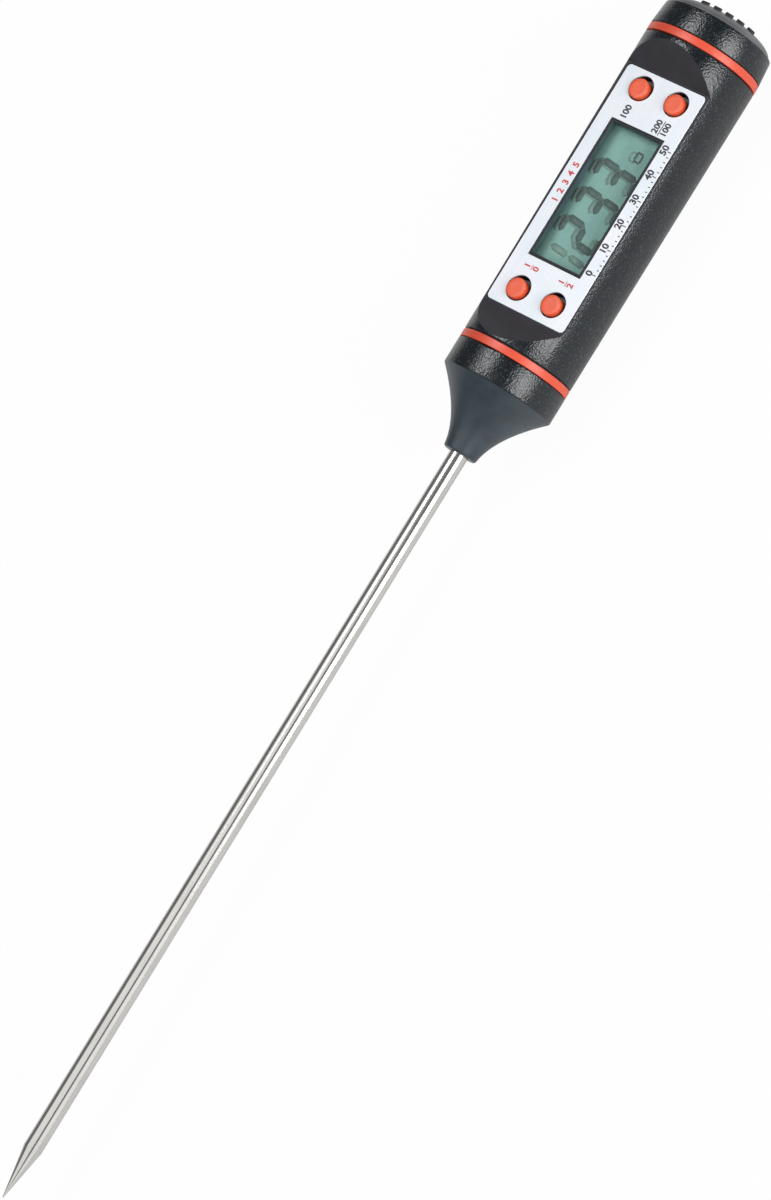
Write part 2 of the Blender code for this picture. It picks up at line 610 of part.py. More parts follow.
# ------------------------------------------------------------------ electronics
def build_board(parent, looks):
    """Circuit board, its screws, the processor under its black drop, the crystal and the capacitor."""
    bottom = BOARD_TOP - BOARD_THICKNESS
    board_outline = rectangle(BOARD_START, BOARD_END, BOARD_WIDTH, BOARD_CORNER, steps=2)
    board_mesh = prism("circuit_board", board_outline, bottom, BOARD_TOP)
    board = add_object("circuit_board", board_mesh, parent, looks["board"])
    hole_radius = SCREW_RADIUS + SEAT_GAP
    hole = [
        (bottom - BOARD_THICKNESS, 0.0),
        (bottom - BOARD_THICKNESS, hole_radius),
        (BOARD_TOP + BOARD_THICKNESS, hole_radius),
        (BOARD_TOP + BOARD_THICKNESS, 0.0),
    ]
    head_top = bottom - SEAT_GAP
    head_bottom = head_top - SCREW_HEAD_HEIGHT
    screw = [
        (head_bottom, 0.0),
        (head_bottom, SCREW_HEAD_RADIUS),
        (head_top, SCREW_HEAD_RADIUS),
        (head_top, SCREW_RADIUS),
        (head_top + SCREW_LENGTH, SCREW_RADIUS),
        (head_top + SCREW_LENGTH, 0.0),
    ]
    for side, label in ((-1, "front"), (1, "rear")):
        place = (FACE_CENTRE + side * SCREW_OFFSET, 0, 0)
        hole_mesh = lathe(f"cut_board_{label}", hole, SMALL_SEGMENTS, "Z")
        combine(board, as_cutter(add_object(f"cut_board_{label}", hole_mesh, parent, place=place)))
        name = f"holder_screw_{label}"
        add_object(name, lathe(name, screw, SMALL_SEGMENTS, "Z"), parent, looks["steel"], place)

    drop_bottom = BOARD_TOP + SEAT_GAP
    steps = 5
    drop = [(drop_bottom, 0.0)]
    for step in range(steps):
        angle = math.radians(90 * step / steps)
        drop.append((drop_bottom + DROP_HEIGHT * math.sin(angle), DROP_RADIUS * math.cos(angle)))
    drop.append((drop_bottom + DROP_HEIGHT, 0.0))
    name = "processor_blob"
    add_object(name, lathe(name, drop, SMALL_SEGMENTS, "Z"), parent, looks["black"], (FACE_CENTRE, 0, 0))

    crystal = [(0.0, 0.0), (0.0, CRYSTAL_RADIUS), (CRYSTAL_LENGTH, CRYSTAL_RADIUS), (CRYSTAL_LENGTH, 0.0)]
    place = (FACE_CENTRE - CRYSTAL_OFFSET, CRYSTAL_SIDE, bottom - SEAT_GAP - CRYSTAL_RADIUS)
    add_object("crystal_can", lathe("crystal_can", crystal, SMALL_SEGMENTS), parent, looks["steel"], place)
    x_range = (FACE_CENTRE + CHIP_OFFSET, FACE_CENTRE + CHIP_OFFSET + CHIP_LENGTH)
    chip_top = bottom - SEAT_GAP
    z_range = (chip_top - CHIP_HEIGHT, chip_top)
    chip_mesh = box("capacitor", x_range, (-CHIP_WIDTH / 2, CHIP_WIDTH / 2), z_range)
    add_object("capacitor", chip_mesh, parent, looks["chip"])


def build_battery(parent, looks):
    """The cell, its holder and the two contact leaves that reach over the board."""
    holder_radius = BORE_RADIUS - SEAT_GAP
    outside = [
        (CELL_HOLDER_START, 0.0),
        (CELL_HOLDER_START, holder_radius),
        (CELL_HOLDER_END, holder_radius),
        (CELL_HOLDER_END, 0.0),
    ]
    holder = add_object("cell_holder", lathe("cell_holder", outside, BODY_SEGMENTS), parent, looks["white"])
    relief_mesh = scoop_mesh("cut_cell_holder_top", FACE_WALL + SEAT_GAP)
    combine(holder, as_cutter(add_object("cut_cell_holder_top", relief_mesh, parent)))
    well_radius = CELL_RADIUS + SEAT_GAP
    well_end = CELL_HOLDER_END + CELL_HEIGHT
    well = [(CELL_FLOOR, 0.0), (CELL_FLOOR, well_radius), (well_end, well_radius), (well_end, 0.0)]
    centre = (0, 0, -CELL_DROP)
    well_mesh = lathe("cut_cell_well", well, BODY_SEGMENTS)
    combine(holder, as_cutter(add_object("cut_cell_well", well_mesh, parent, place=centre)))

    half = CONTACT_WIDTH / 2
    tab_low = BOARD_TOP + SEAT_GAP
    tab_high = tab_low + CONTACT_THICKNESS
    tab_start = BOARD_END - CONTACT_TAB
    slot_x = (CELL_HOLDER_START - SEAT_GAP, CELL_FLOOR + SEAT_GAP)
    slot_mesh = box(
        "cut_middle_slot",
        slot_x,
        (-half - SEAT_GAP, half + SEAT_GAP),
        (tab_low - SEAT_GAP, tab_high + SEAT_GAP),
    )
    combine(holder, as_cutter(add_object("cut_middle_slot", slot_mesh, parent)))
    leaf_start = CELL_FLOOR + SEAT_GAP
    leaf_end = leaf_start + CONTACT_THICKNESS
    leaf_low = -CELL_DROP - CELL_RADIUS / 2
    leaf_outline = [
        (tab_start, tab_low),
        (leaf_start, tab_low),
        (leaf_start, leaf_low),
        (leaf_end, leaf_low),
        (leaf_end, tab_high),
        (tab_start, tab_high),
    ]
    leaf_mesh = prism("negative_contact", leaf_outline, -half, half, along="Y")
    add_object("negative_contact", leaf_mesh, parent, looks["brass"])

    side = -(CELL_RADIUS + SEAT_GAP)
    outer = side - CONTACT_THICKNESS
    plate_start = CELL_HOLDER_START + SEAT_GAP
    plate_end = CELL_HOLDER_END
    plate_outline = [
        (tab_start, outer - half / 2),
        (plate_start, outer - half / 2),
        (plate_start, outer),
        (plate_end, outer),
        (plate_end, side),
        (tab_start, side),
    ]
    plate_mesh = prism("positive_contact", plate_outline, tab_low, tab_high + half)
    add_object("positive_contact", plate_mesh, parent, looks["brass"])
    groove_outline = rectangle(
        CELL_HOLDER_START - SEAT_GAP,
        CELL_HOLDER_END + SEAT_GAP,
        CONTACT_THICKNESS + 3 * SEAT_GAP,
        middle=(side + outer) / 2,
    )
    groove_mesh = prism("cut_side_groove", groove_outline, tab_low - SEAT_GAP, tab_high + half + SEAT_GAP)
    combine(holder, as_cutter(add_object("cut_side_groove", groove_mesh, parent)))
    mouth_outline = rectangle(
        CELL_HOLDER_START - SEAT_GAP,
        plate_start + SEAT_GAP,
        half,
        middle=outer - half / 2 + SEAT_GAP,
    )
    mouth_mesh = prism("cut_side_mouth", mouth_outline, tab_low - SEAT_GAP, tab_high + half + SEAT_GAP)
    combine(holder, as_cutter(add_object("cut_side_mouth", mouth_mesh, parent)))

    cell = [
        (CELL_START, 0.0),
        (CELL_START, CELL_RADIUS - 2 * CELL_RIM),
        (CELL_START + CELL_RIM, CELL_RADIUS - 2 * CELL_RIM),
        (CELL_START + CELL_RIM, CELL_RADIUS - CELL_RIM),
        (CELL_START + 2 * CELL_RIM, CELL_RADIUS),
        (CELL_END - CELL_RIM, CELL_RADIUS),
        (CELL_END, CELL_RADIUS - CELL_RIM),
        (CELL_END, 0.0),
    ]
    add_object("button_cell", lathe("button_cell", cell, BODY_SEGMENTS), parent, looks["steel"], centre)


# ------------------------------------------------------------------ battery cap
def dome_height(radius):
    """Station of the dome's surface at a radius from the handle's centre line."""
    return CAP_RIM + DOME_HEIGHT * math.sqrt(max(0.0, 1 - (radius / DOME_REACH) ** 2))


def rib_mesh(name, offset):
    """One finger rib: a strip that follows the dome, raised by RIB_HEIGHT, along the local Z."""
    half_length = math.sqrt(RIB_REACH**2 - offset**2)
    inner = offset - RIB_WIDTH / 2
    outer = offset + RIB_WIDTH / 2
    steps = 10
    bm = bmesh.new()
    rows = []
    for step in range(steps + 1):
        z = half_length * (2 * step / steps - 1)
        surface = dome_height(math.hypot(offset, z))
        low = surface - DOME_WALL / 2
        high = surface + RIB_HEIGHT
        corners = [(low, inner, z), (high, inner, z), (high, outer, z), (low, outer, z)]
        rows.append([bm.verts.new(corner) for corner in corners])
    for row, following in zip(rows, rows[1:]):
        for index in range(4):
            after = (index + 1) % 4
            bm.faces.new((row[index], row[after], following[after], following[index]))
    bm.faces.new(rows[0])
    bm.faces.new(rows[-1])
    return finish_mesh(name, bm)


def build_cap(parent, cap_material, seal_material):
    """The battery cap, on an empty on its turning axis, and the O-ring in its groove."""
    stand = add_object("cap_axis", None, parent, place=(CAP_START, 0, 0))
    side_radius = body_radius(CAP_START)
    rim_radius = side_radius - CAP_TAPER
    groove_bottom = SPIGOT_RADIUS - SEAL_GROOVE_DEPTH
    groove_middle = (SPIGOT_START + CAP_START - SEAT_GAP) / 2
    groove_half = SEAL_SECTION / 2 + SEAT_GAP / 2
    profile = [
        (SPIGOT_START, CAP_CAVITY_RADIUS),
        (SPIGOT_START, SPIGOT_RADIUS),
        (groove_middle - groove_half, SPIGOT_RADIUS),
        (groove_middle - groove_half, groove_bottom),
        (groove_middle + groove_half, groove_bottom),
        (groove_middle + groove_half, SPIGOT_RADIUS),
        (CAP_START, SPIGOT_RADIUS),
        (CAP_START, side_radius),
        (CAP_RIM - CAP_EDGE, rim_radius),
        (CAP_RIM, rim_radius - CAP_EDGE),
    ]
    steps = 8
    for step in range(steps):
        angle = math.radians(90 * step / steps)
        radius = DOME_REACH * math.cos(angle)
        profile.append((dome_height(radius), radius))
    boss_start = CELL_END + SEAT_GAP
    inside = [(boss_start, 0.0), (boss_start, CAP_BOSS_RADIUS)]
    for radius in (CAP_BOSS_RADIUS, (CAP_BOSS_RADIUS + CAP_CAVITY_RADIUS) / 2, CAP_CAVITY_RADIUS):
        inside.append((dome_height(radius) - DOME_WALL, radius))
    outline = [(DOME_TOP, 0.0)] + list(reversed(profile)) + list(reversed(inside))
    shifted = [(station - CAP_START, radius) for station, radius in outline]
    cap = add_object("battery_cap", lathe("battery_cap", shifted, BODY_SEGMENTS), stand, cap_material)
    for index in range(RIB_COUNT):
        name = f"add_rib_{index + 1}"
        rib = rib_mesh(name, (index - (RIB_COUNT - 1) / 2) * RIB_PITCH)
        tool = as_cutter(add_object(name, rib, stand, place=(-CAP_START, 0, 0)))
        tool.rotation_euler = (RIB_TURN, 0, 0)
        combine(cap, tool, "UNION")

    section = arc((groove_middle, SEAL_RADIUS), SEAL_SECTION / 2, 0, 315, 7)
    add_object("cap_seal", lathe("cap_seal", section, BODY_SEGMENTS), parent, seal_material)


# ------------------------------------------------------------------ probe
def build_probe(parent, looks):
    """The tube, its pointed plug, the bush that holds it and the sensor bead in the point."""
    inner = PROBE_RADIUS - PROBE_WALL
    tube_start = POINT_LENGTH + TUBE_GAP
    tube = [(tube_start, inner), (tube_start, PROBE_RADIUS), (TUBE_END, PROBE_RADIUS), (TUBE_END, inner)]
    add_object("probe_tube", lathe("probe_tube", tube, SMALL_SEGMENTS), parent, looks["steel"])

    plug_radius = inner - SEAT_GAP / 2
    plug_end = POINT_LENGTH + POINT_SPIGOT
    hollow = plug_radius - HOLLOW_WALL
    point = [
        (0.0, 0.0),
        (0.0, POINT_FLAT),
        (POINT_LENGTH, PROBE_RADIUS),
        (POINT_LENGTH, plug_radius),
        (plug_end, plug_radius),
        (plug_end, hollow),
        (HOLLOW_START, hollow),
        (HOLLOW_START, 0.0),
    ]
    add_object("probe_point", lathe("probe_point", point, SMALL_SEGMENTS), parent, looks["steel"])

    bead_start = HOLLOW_START + SEAT_GAP
    half = BEAD_LENGTH / 2
    steps = 6
    bead = [(bead_start, 0.0)]
    for step in range(1, steps):
        angle = math.pi * step / steps
        bead.append((bead_start + half * (1 - math.cos(angle)), BEAD_RADIUS * math.sin(angle)))
    bead.append((bead_start + BEAD_LENGTH, 0.0))
    add_object("thermistor_bead", lathe("thermistor_bead", bead, SMALL_SEGMENTS // 2), parent, looks["bead"])

    bush_start = PROBE_LENGTH + BUSH_START
    bush_inner = PROBE_RADIUS + SEAT_GAP / 2
    bush_outer = PROBE_RADIUS + BUSH_WALL
    bush = [
        (bush_start, bush_inner),
        (bush_start, bush_outer),
        (TUBE_END, bush_outer),
        (TUBE_END, bush_inner),
    ]
    add_object("probe_bushing", lathe("probe_bushing", bush, SMALL_SEGMENTS), parent, looks["brass"])
    return bead_start + BEAD_LENGTH


def smooth_route(stops, per_span):
    """Points of a smooth curve through the stops, read at even steps between each pair."""
    padded = [stops[0]] + stops + [stops[-1]]
    points = []
    for before, start, end, after in zip(padded, padded[1:], padded[2:], padded[3:]):
        for step in range(per_span):
            t = step / per_span
            linear = (end - before) * t
            square = (before * 2 - start * 5 + end * 4 - after) * t**2
            cube = (start * 3 - before - end * 3 + after) * t**3
            points.append(start + (linear + square + cube) / 2)
    points.append(stops[-1])
    return points


def build_leads(parent, material, lead_start):
    """Two insulated leads from the bead through the tube and the nose to the board."""
    land = BOARD_TOP + SEAT_GAP + LEAD_RADIUS
    for side, label in ((1, "left"), (-1, "right")):
        close = side * LEAD_SPACING / 2
        wide = side * LEAD_SPREAD / 2
        stops = [
            Vector((lead_start + SEAT_GAP, close, 0)),
            Vector((TUBE_END / 2, close, 0)),
            Vector((TUBE_END, close, 0)),
            Vector((TUBE_END + LEAD_BEND, close, 0)),
            Vector(((TUBE_END + BOARD_START) / 2, wide, 2 * land)),
            Vector((BOARD_START, wide, 2 * land)),
            Vector((BOARD_START + 0.7 * LEAD_LANDING, wide, land)),
            Vector((BOARD_START + LEAD_LANDING, wide, land)),
        ]
        points = smooth_route(stops, 4)
        name = f"sensor_lead_{label}"
        curve = bpy.data.curves.new(name, "CURVE")
        curve.dimensions = "3D"
        curve.bevel_depth = LEAD_RADIUS
        curve.bevel_resolution = 2
        curve.use_fill_caps = True
        spline = curve.splines.new("POLY")
        spline.points.add(len(points) - 1)
        for spot, point in zip(spline.points, points):
            spot.co = (*point, 1.0)
        add_object(name, curve, parent, material)


# ------------------------------------------------------------------ the whole thermometer
def main():
    """Builds every piece under one empty at the probe's point."""
    clear_scene()
    base = add_object("probe_point_frame", None, None, place=(-TOTAL_LENGTH / 2, 0, AXIS_HEIGHT))
    textured = make_material("textured_black_plastic", (0.035, 0.037, 0.042), 0.62)
    satin = make_material("satin_slate_plastic", (0.055, 0.062, 0.070), 0.42)
    orange = make_material("orange_plastic", (0.78, 0.12, 0.05), 0.40)
    rubber = make_material("black_rubber", (0.02, 0.02, 0.02), 0.80)
    looks = {
        "steel": make_material("polished_steel", (0.72, 0.73, 0.75), 0.12, 1.0),
        "brass": make_material("brass", (0.76, 0.58, 0.26), 0.30, 1.0),
        "silver": make_material("brushed_silver", (0.82, 0.84, 0.88), 0.40, 0.3),
        "black": make_material("gloss_black", (0.012, 0.012, 0.014), 0.35),
        "clear": make_material("clear_plastic", (0.95, 0.97, 0.97), 0.05, 0.0, 0.25),
        "lcd": make_material("lcd_glass", (0.26, 0.40, 0.34), 0.15),
        "elastomer": make_material("pink_elastomer", (0.75, 0.55, 0.55), 0.70),
        "white": make_material("white_plastic", (0.80, 0.80, 0.78), 0.50),
        "board": make_material("green_board", (0.03, 0.22, 0.09), 0.45),
        "chip": make_material("tan_ceramic", (0.45, 0.30, 0.16), 0.50),
        "bead": make_material("red_glass", (0.35, 0.04, 0.03), 0.25),
    }
    face_cutters = build_main_housing(base, textured)
    build_nose_cone(base, satin)
    build_ring(base, orange, "lower_trim_ring", LOWER_RING_START)
    build_ring(base, orange, "upper_trim_ring", UPPER_RING_START)
    build_label(base, looks["silver"], face_cutters)
    build_display(base, looks)
    build_keys(base, orange, looks["black"], looks["white"])
    build_board(base, looks)
    build_battery(base, looks)
    build_cap(base, textured, rubber)
    lead_start = build_probe(base, looks)
    build_leads(base, looks["white"], lead_start)
    bpy.context.view_layer.update()


main()
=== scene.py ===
"""Looks of a pen-type digital probe thermometer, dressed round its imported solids.

The probe lies along X with its point at the low end. The display and the keys face +Z, the handle lies on
the floor at Z = 0. All lengths are in metres. Stations along X are counted from the probe's point.
"""

import logging
import math
from dataclasses import dataclass
from enum import Enum
from typing import Any, Callable, Iterable, Sequence

import bmesh
import bpy
from mathutils import Matrix, Vector


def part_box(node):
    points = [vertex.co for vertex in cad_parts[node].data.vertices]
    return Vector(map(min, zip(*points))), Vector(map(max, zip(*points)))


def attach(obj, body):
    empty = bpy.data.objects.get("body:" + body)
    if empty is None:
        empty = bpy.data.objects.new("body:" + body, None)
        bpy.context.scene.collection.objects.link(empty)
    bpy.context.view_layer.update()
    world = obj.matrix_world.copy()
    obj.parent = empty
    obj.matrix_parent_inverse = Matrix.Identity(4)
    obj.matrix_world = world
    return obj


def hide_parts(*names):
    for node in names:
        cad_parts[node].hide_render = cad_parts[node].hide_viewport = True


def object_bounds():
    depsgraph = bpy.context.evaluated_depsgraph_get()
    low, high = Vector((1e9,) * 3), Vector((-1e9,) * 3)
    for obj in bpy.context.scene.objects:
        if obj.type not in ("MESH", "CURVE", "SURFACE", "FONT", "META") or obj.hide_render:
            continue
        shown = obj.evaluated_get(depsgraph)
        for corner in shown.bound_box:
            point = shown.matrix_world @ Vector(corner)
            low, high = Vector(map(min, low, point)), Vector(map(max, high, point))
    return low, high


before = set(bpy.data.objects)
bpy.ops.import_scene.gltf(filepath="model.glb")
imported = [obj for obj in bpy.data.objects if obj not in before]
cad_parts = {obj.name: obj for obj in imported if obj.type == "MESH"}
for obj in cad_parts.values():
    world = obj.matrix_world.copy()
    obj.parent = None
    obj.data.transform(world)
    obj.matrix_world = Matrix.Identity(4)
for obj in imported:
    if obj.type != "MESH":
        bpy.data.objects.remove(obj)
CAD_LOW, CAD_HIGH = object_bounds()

LOG = logging.getLogger("thermometer")
Point = tuple[float, float]
Color = tuple[float, float, float]

TIP_X = CAD_LOW.x                    # the probe's point
AXIS_Z = (CAD_LOW.z + CAD_HIGH.z) / 2  # height of the handle's centre line
MM = 0.001
FINISH_MARGIN = 0.05 * MM            # how far a finish reaches past the edge where it changes


# ---------------------------------------------------------------------------- shader tools
class Value:
    """A number in a material: arithmetic on it adds Math nodes."""

    def __init__(self, nodes: "Nodes", socket: bpy.types.NodeSocket) -> None:
        """Wraps an output socket."""
        self.nodes = nodes
        self.socket = socket

    def math(self, operation: str, *others: Any) -> "Value":
        """One Math node on this value and the others.

        Args:
            operation: the node's operation.
            others: numbers, values or sockets for its other inputs.

        Returns:
            The result.
        """
        node = self.nodes.add("ShaderNodeMath", {"operation": operation}, {0: self})
        for index, other in enumerate(others, start=1):
            self.nodes.feed(node.inputs[index], other)
        return Value(self.nodes, node.outputs[0])

    def number(self, value: float) -> "Value":
        """A plain number as the first input of the next operation.

        Args:
            value: the number.

        Returns:
            The number as a value of this tree.
        """
        node = self.nodes.add("ShaderNodeValue", {})
        node.outputs[0].default_value = value
        return Value(self.nodes, node.outputs[0])

    def __add__(self, other: Any) -> "Value":
        """Sum."""
        return self.math("ADD", other)

    __radd__ = __add__

    def __mul__(self, other: Any) -> "Value":
        """Product."""
        return self.math("MULTIPLY", other)

    __rmul__ = __mul__

    def __sub__(self, other: Any) -> "Value":
        """Difference."""
        return self.math("SUBTRACT", other)

    def __rsub__(self, other: float) -> "Value":
        """Difference from a plain number."""
        return self.number(other).math("SUBTRACT", self)

    def __truediv__(self, other: Any) -> "Value":
        """Quotient."""
        return self.math("DIVIDE", other)

    def __pow__(self, other: Any) -> "Value":
        """Power."""
        return self.math("POWER", other)

    def above(self, low: float, high: float) -> "Value":
        """Rises smoothly from 0 at the low limit to 1 at the high one.

        Args:
            low: where the result is 0.
            high: where the result is 1.

        Returns:
            The mask.
        """
        inputs = {"Value": self, "From Min": low, "From Max": high}
        node = self.nodes.add("ShaderNodeMapRange", {"interpolation_type": "SMOOTHSTEP"}, inputs)
        return Value(self.nodes, node.outputs["Result"])


class Nodes:
    """The node tree of one material."""

    def __init__(self, name: str) -> None:
        """Makes an empty material.

        Args:
            name: the material's name.
        """
        self.material = bpy.data.materials.new(name)
        self.material.use_nodes = True
        self.tree = self.material.node_tree
        self.tree.nodes.clear()
        self.output = self.add("ShaderNodeOutputMaterial", {})

    def add(self, kind: str, settings: dict[str, Any], inputs: dict[Any, Any] | None = None) -> bpy.types.Node:
        """Adds a node.

        Args:
            kind: the node's type.
            settings: attributes, set before the sockets.
            inputs: values or links of its sockets, by name or index.

        Returns:
            The node.
        """
        node = self.tree.nodes.new(kind)
        for key, value in settings.items():
            setattr(node, key, value)
        for key, value in (inputs or {}).items():
            self.feed(node.inputs[key], value)
        return node

    def feed(self, socket: bpy.types.NodeSocket, value: Any) -> None:
        """Links or sets an input socket.

        Args:
            socket: the input.
            value: a Value, an output socket or a plain value.
        """
        if isinstance(value, Value):
            value = value.socket
        if isinstance(value, bpy.types.NodeSocket):
            self.tree.links.new(value, socket)
        else:
            socket.default_value = value

    def place(self, scale: tuple[float, float, float] = (1, 1, 1)) -> bpy.types.NodeSocket:
        """Object coordinates, stretched along each axis."""
        coordinates = self.add("ShaderNodeTexCoord", {}).outputs["Object"]
        return self.add("ShaderNodeMapping", {}, {"Vector": coordinates, "Scale": scale}).outputs[0]

    def noise(self, size: float, detail: float = 2.0, stretch: tuple[float, float, float] = (1, 1, 1)) -> Value:
        """Soft noise.

        Args:
            size: rough size of its spots in metres.
            detail: number of finer layers.
            stretch: how much its spots are shortened along each axis.

        Returns:
            A value round 0.5.
        """
        inputs = {"Vector": self.place(stretch), "Scale": 1 / size, "Detail": detail}
        return Value(self, self.add("ShaderNodeTexNoise", {}, inputs).outputs[0])

    def cells(self, size: float) -> Value:
        """Distance to the middle of random cells of a size in metres."""
        inputs = {"Vector": self.place(), "Scale": 1 / size}
        return Value(self, self.add("ShaderNodeTexVoronoi", {}, inputs).outputs["Distance"])

    def mix(self, share: Any, first: Any, second: Any) -> bpy.types.NodeSocket:
        """Mixes two colours.

        Args:
            share: how much of the second colour.
            first: colour or socket.
            second: colour or socket.

        Returns:
            The mixed colour.
        """
        node = self.add("ShaderNodeMix", {"data_type": "RGBA"}, {0: share})
        self.feed(node.inputs[6], rgba(first))
        self.feed(node.inputs[7], rgba(second))
        return node.outputs[2]

    def bump(self, height: Value, depth: float, strength: float = 1.0) -> bpy.types.NodeSocket:
        """Turns a height from 0 to 1 into a normal.

        Args:
            height: the height.
            depth: its full depth in metres.
            strength: share of the effect.

        Returns:
            The normal.
        """
        inputs = {"Height": height, "Distance": depth, "Strength": strength}
        return self.add("ShaderNodeBump", {}, inputs).outputs[0]

    def shade(self, inputs: dict[str, Any]) -> bpy.types.Node:
        """Ends the material in a Principled shader with these inputs.

        Args:
            inputs: values or links by the shader's socket names.

        Returns:
            The shader's node.
        """
        shader = self.add("ShaderNodeBsdfPrincipled", {}, inputs)
        self.feed(self.output.inputs["Surface"], shader.outputs[0])
        return shader


def rgba(color: Any) -> Any:
    """A plain colour with full alpha; a socket is passed on.

    Args:
        color: three numbers, or a socket that carries a colour.

    Returns:
        Four numbers, or the same socket.
    """
    if isinstance(color, (tuple, list)) and len(color) == 3:
        return (*color, 1.0)
    return color


# ---------------------------------------------------------------------------- finishes
@dataclass(frozen=True)
class SparkTexture:
    """Black plastic moulded against a spark-eroded tool."""

    name: str = "spark_textured_plastic"
    color: Color = (0.002, 0.005, 0.008)
    # colour of the paler flecks: painted glints of the grain
    painted_glint: Color = (0.040, 0.051, 0.060)
    grain: float = 0.42 * MM
    depth: float = 0.058 * MM
    roughness: float = 0.175

    def build(self) -> bpy.types.Material:
        """Makes the material.

        Returns:
            The finished material.
        """
        nodes = Nodes(self.name)
        coarse = nodes.noise(self.grain, 3.0)
        pits = nodes.cells(self.grain * 0.8)
        cloud = nodes.noise(6 * MM, 1.0)
        height = coarse * 0.7 + pits * 0.6
        speckle = coarse.above(0.55, 0.63)
        # the paler flecks mixed into the base colour are painted glints; the bump and roughness are real
        nodes.shade({
            "Base Color": nodes.mix(speckle * 0.6, nodes.mix(cloud * 0.05, self.color, self.painted_glint), self.painted_glint),
            "Roughness": self.roughness + speckle * -0.10 + cloud * 0.08,
            "Normal": nodes.bump(height, self.depth),
            "Specular IOR Level": 0.54,
        })
        return nodes.material


@dataclass(frozen=True)
class SatinPlastic:
    """Smooth satin plastic with faint flow marks."""

    name: str
    color: Color
    roughness: float = 0.40
    mottling: float = 0.12
    grain: float = 0.12 * MM
    depth: float = 0.004 * MM

    def build(self) -> bpy.types.Material:
        """Makes the material.

        Returns:
            The finished material.
        """
        nodes = Nodes(self.name)
        cloud = nodes.noise(4 * MM, 2.0)
        fine = nodes.noise(self.grain, 2.0)
        paler = tuple(min(1.0, part * (1 + 2 * self.mottling)) for part in self.color)
        darker = tuple(part * (1 - self.mottling) for part in self.color)
        nodes.shade({
            "Base Color": nodes.mix(cloud.above(0.3, 0.7), darker, paler),
            "Roughness": self.roughness + (fine - 0.5) * 0.12 + (cloud - 0.5) * 0.08,
            "Normal": nodes.bump(fine, self.depth),
        })
        return nodes.material


@dataclass(frozen=True)
class MoldedColor:
    """Coloured plastic of the keys and the rings, a little soft inside."""

    name: str
    color: Color
    worn: Color
    roughness: float = 0.38

    def build(self) -> bpy.types.Material:
        """Makes the material.

        Returns:
            The finished material.
        """
        nodes = Nodes(self.name)
        cloud = nodes.noise(2.2 * MM, 3.0)
        fine = nodes.noise(0.16 * MM, 2.0)
        nodes.shade({
            "Base Color": nodes.mix(cloud.above(0.35, 0.75) * 0.6, self.color, self.worn),
            "Roughness": self.roughness + (fine - 0.5) * 0.15,
            "Normal": nodes.bump(fine, 0.005 * MM),
            "Subsurface Weight": 0.08,
            "Subsurface Radius": (0.0006, 0.0002, 0.0001),
            "Subsurface Scale": 1.0,
        })
        return nodes.material


@dataclass(frozen=True)
class LabelFilm:
    """Pale silver film, brushed along the handle."""

    name: str = "brushed_label_film"
    color: Color = (0.74, 0.775, 0.84)
    cool: Color = (0.69, 0.765, 0.82)
    warm: Color = (0.80, 0.79, 0.84)

    def build(self) -> bpy.types.Material:
        """Makes the material.

        Returns:
            The finished material.
        """
        nodes = Nodes(self.name)
        brush = nodes.noise(0.18 * MM, 4.0, (0.04, 1, 1))
        cloud = nodes.noise(5 * MM, 2.0)
        drift = nodes.noise(9 * MM, 1.0)
        ground = nodes.mix(cloud.above(0.4, 0.7), self.color, self.cool)
        ground = nodes.mix(drift.above(0.45, 0.7) * 0.7, ground, self.warm)
        streak = nodes.mix(brush.above(0.35, 0.75) * 0.35, ground, (0.88, 0.90, 0.94))
        nodes.shade({
            "Base Color": streak,
            "Roughness": 0.34 + (brush - 0.5) * 0.25,
            "Metallic": 0.12,
            "Normal": nodes.bump(brush, 0.004 * MM),
        })
        return nodes.material


@dataclass(frozen=True)
class DisplayGlass:
    """Grey-green liquid crystal glass with a faint cloud in it."""

    name: str = "display_cell_glass"
    color: Color = (0.228, 0.455, 0.410)
    shade: Color = (0.168, 0.385, 0.355)

    def build(self) -> bpy.types.Material:
        """Makes the material.

        Returns:
            The finished material.
        """
        nodes = Nodes(self.name)
        cloud = nodes.noise(2.6 * MM, 2.0)
        fine = nodes.noise(0.10 * MM, 2.0)
        nodes.shade({
            "Base Color": nodes.mix(cloud.above(0.35, 0.75) * 0.7 + (fine - 0.5) * 0.15, self.color, self.shade),
            "Roughness": 0.30 + (fine - 0.5) * 0.1,
            "Specular IOR Level": 0.2,
        })
        return nodes.material


@dataclass(frozen=True)
class Ink:
    """Print, display segments and other thin flat colour."""

    name: str
    color: Color
    faded: Color
    roughness: float = 0.55

    def build(self) -> bpy.types.Material:
        """Makes the material.

        Returns:
            The finished material.
        """
        nodes = Nodes(self.name)
        patch = nodes.noise(0.35 * MM, 3.0)
        nodes.shade({
            "Base Color": nodes.mix(patch.above(0.4, 0.8), self.color, self.faded),
            "Roughness": self.roughness + (patch - 0.5) * 0.1,
        })
        return nodes.material


@dataclass(frozen=True)
class ClearWindow:
    """Clear window: see-through, with a thin reflection."""

    name: str = "clear_window"
    reflection: float = 0.05

    def build(self) -> bpy.types.Material:
        """Makes the material.

        Returns:
            The finished material.
        """
        nodes = Nodes(self.name)
        haze = nodes.noise(3 * MM, 2.0)
        clear = nodes.add("ShaderNodeBsdfTransparent", {}, {"Color": (0.97, 0.99, 0.98, 1.0)})
        gloss = nodes.add("ShaderNodeBsdfPrincipled", {}, {
            "Base Color": (0.75, 0.80, 0.80, 1.0),
            "Roughness": 0.06 + haze * 0.06,
        })
        weight = nodes.add("ShaderNodeLayerWeight", {}, {"Blend": 0.25})
        share = Value(nodes, weight.outputs["Facing"]) * 0.10 + self.reflection
        blend = nodes.add("ShaderNodeMixShader", {}, {0: share, 1: clear.outputs[0], 2: gloss.outputs[0]})
        nodes.feed(nodes.output.inputs["Surface"], blend.outputs[0])
        return nodes.material


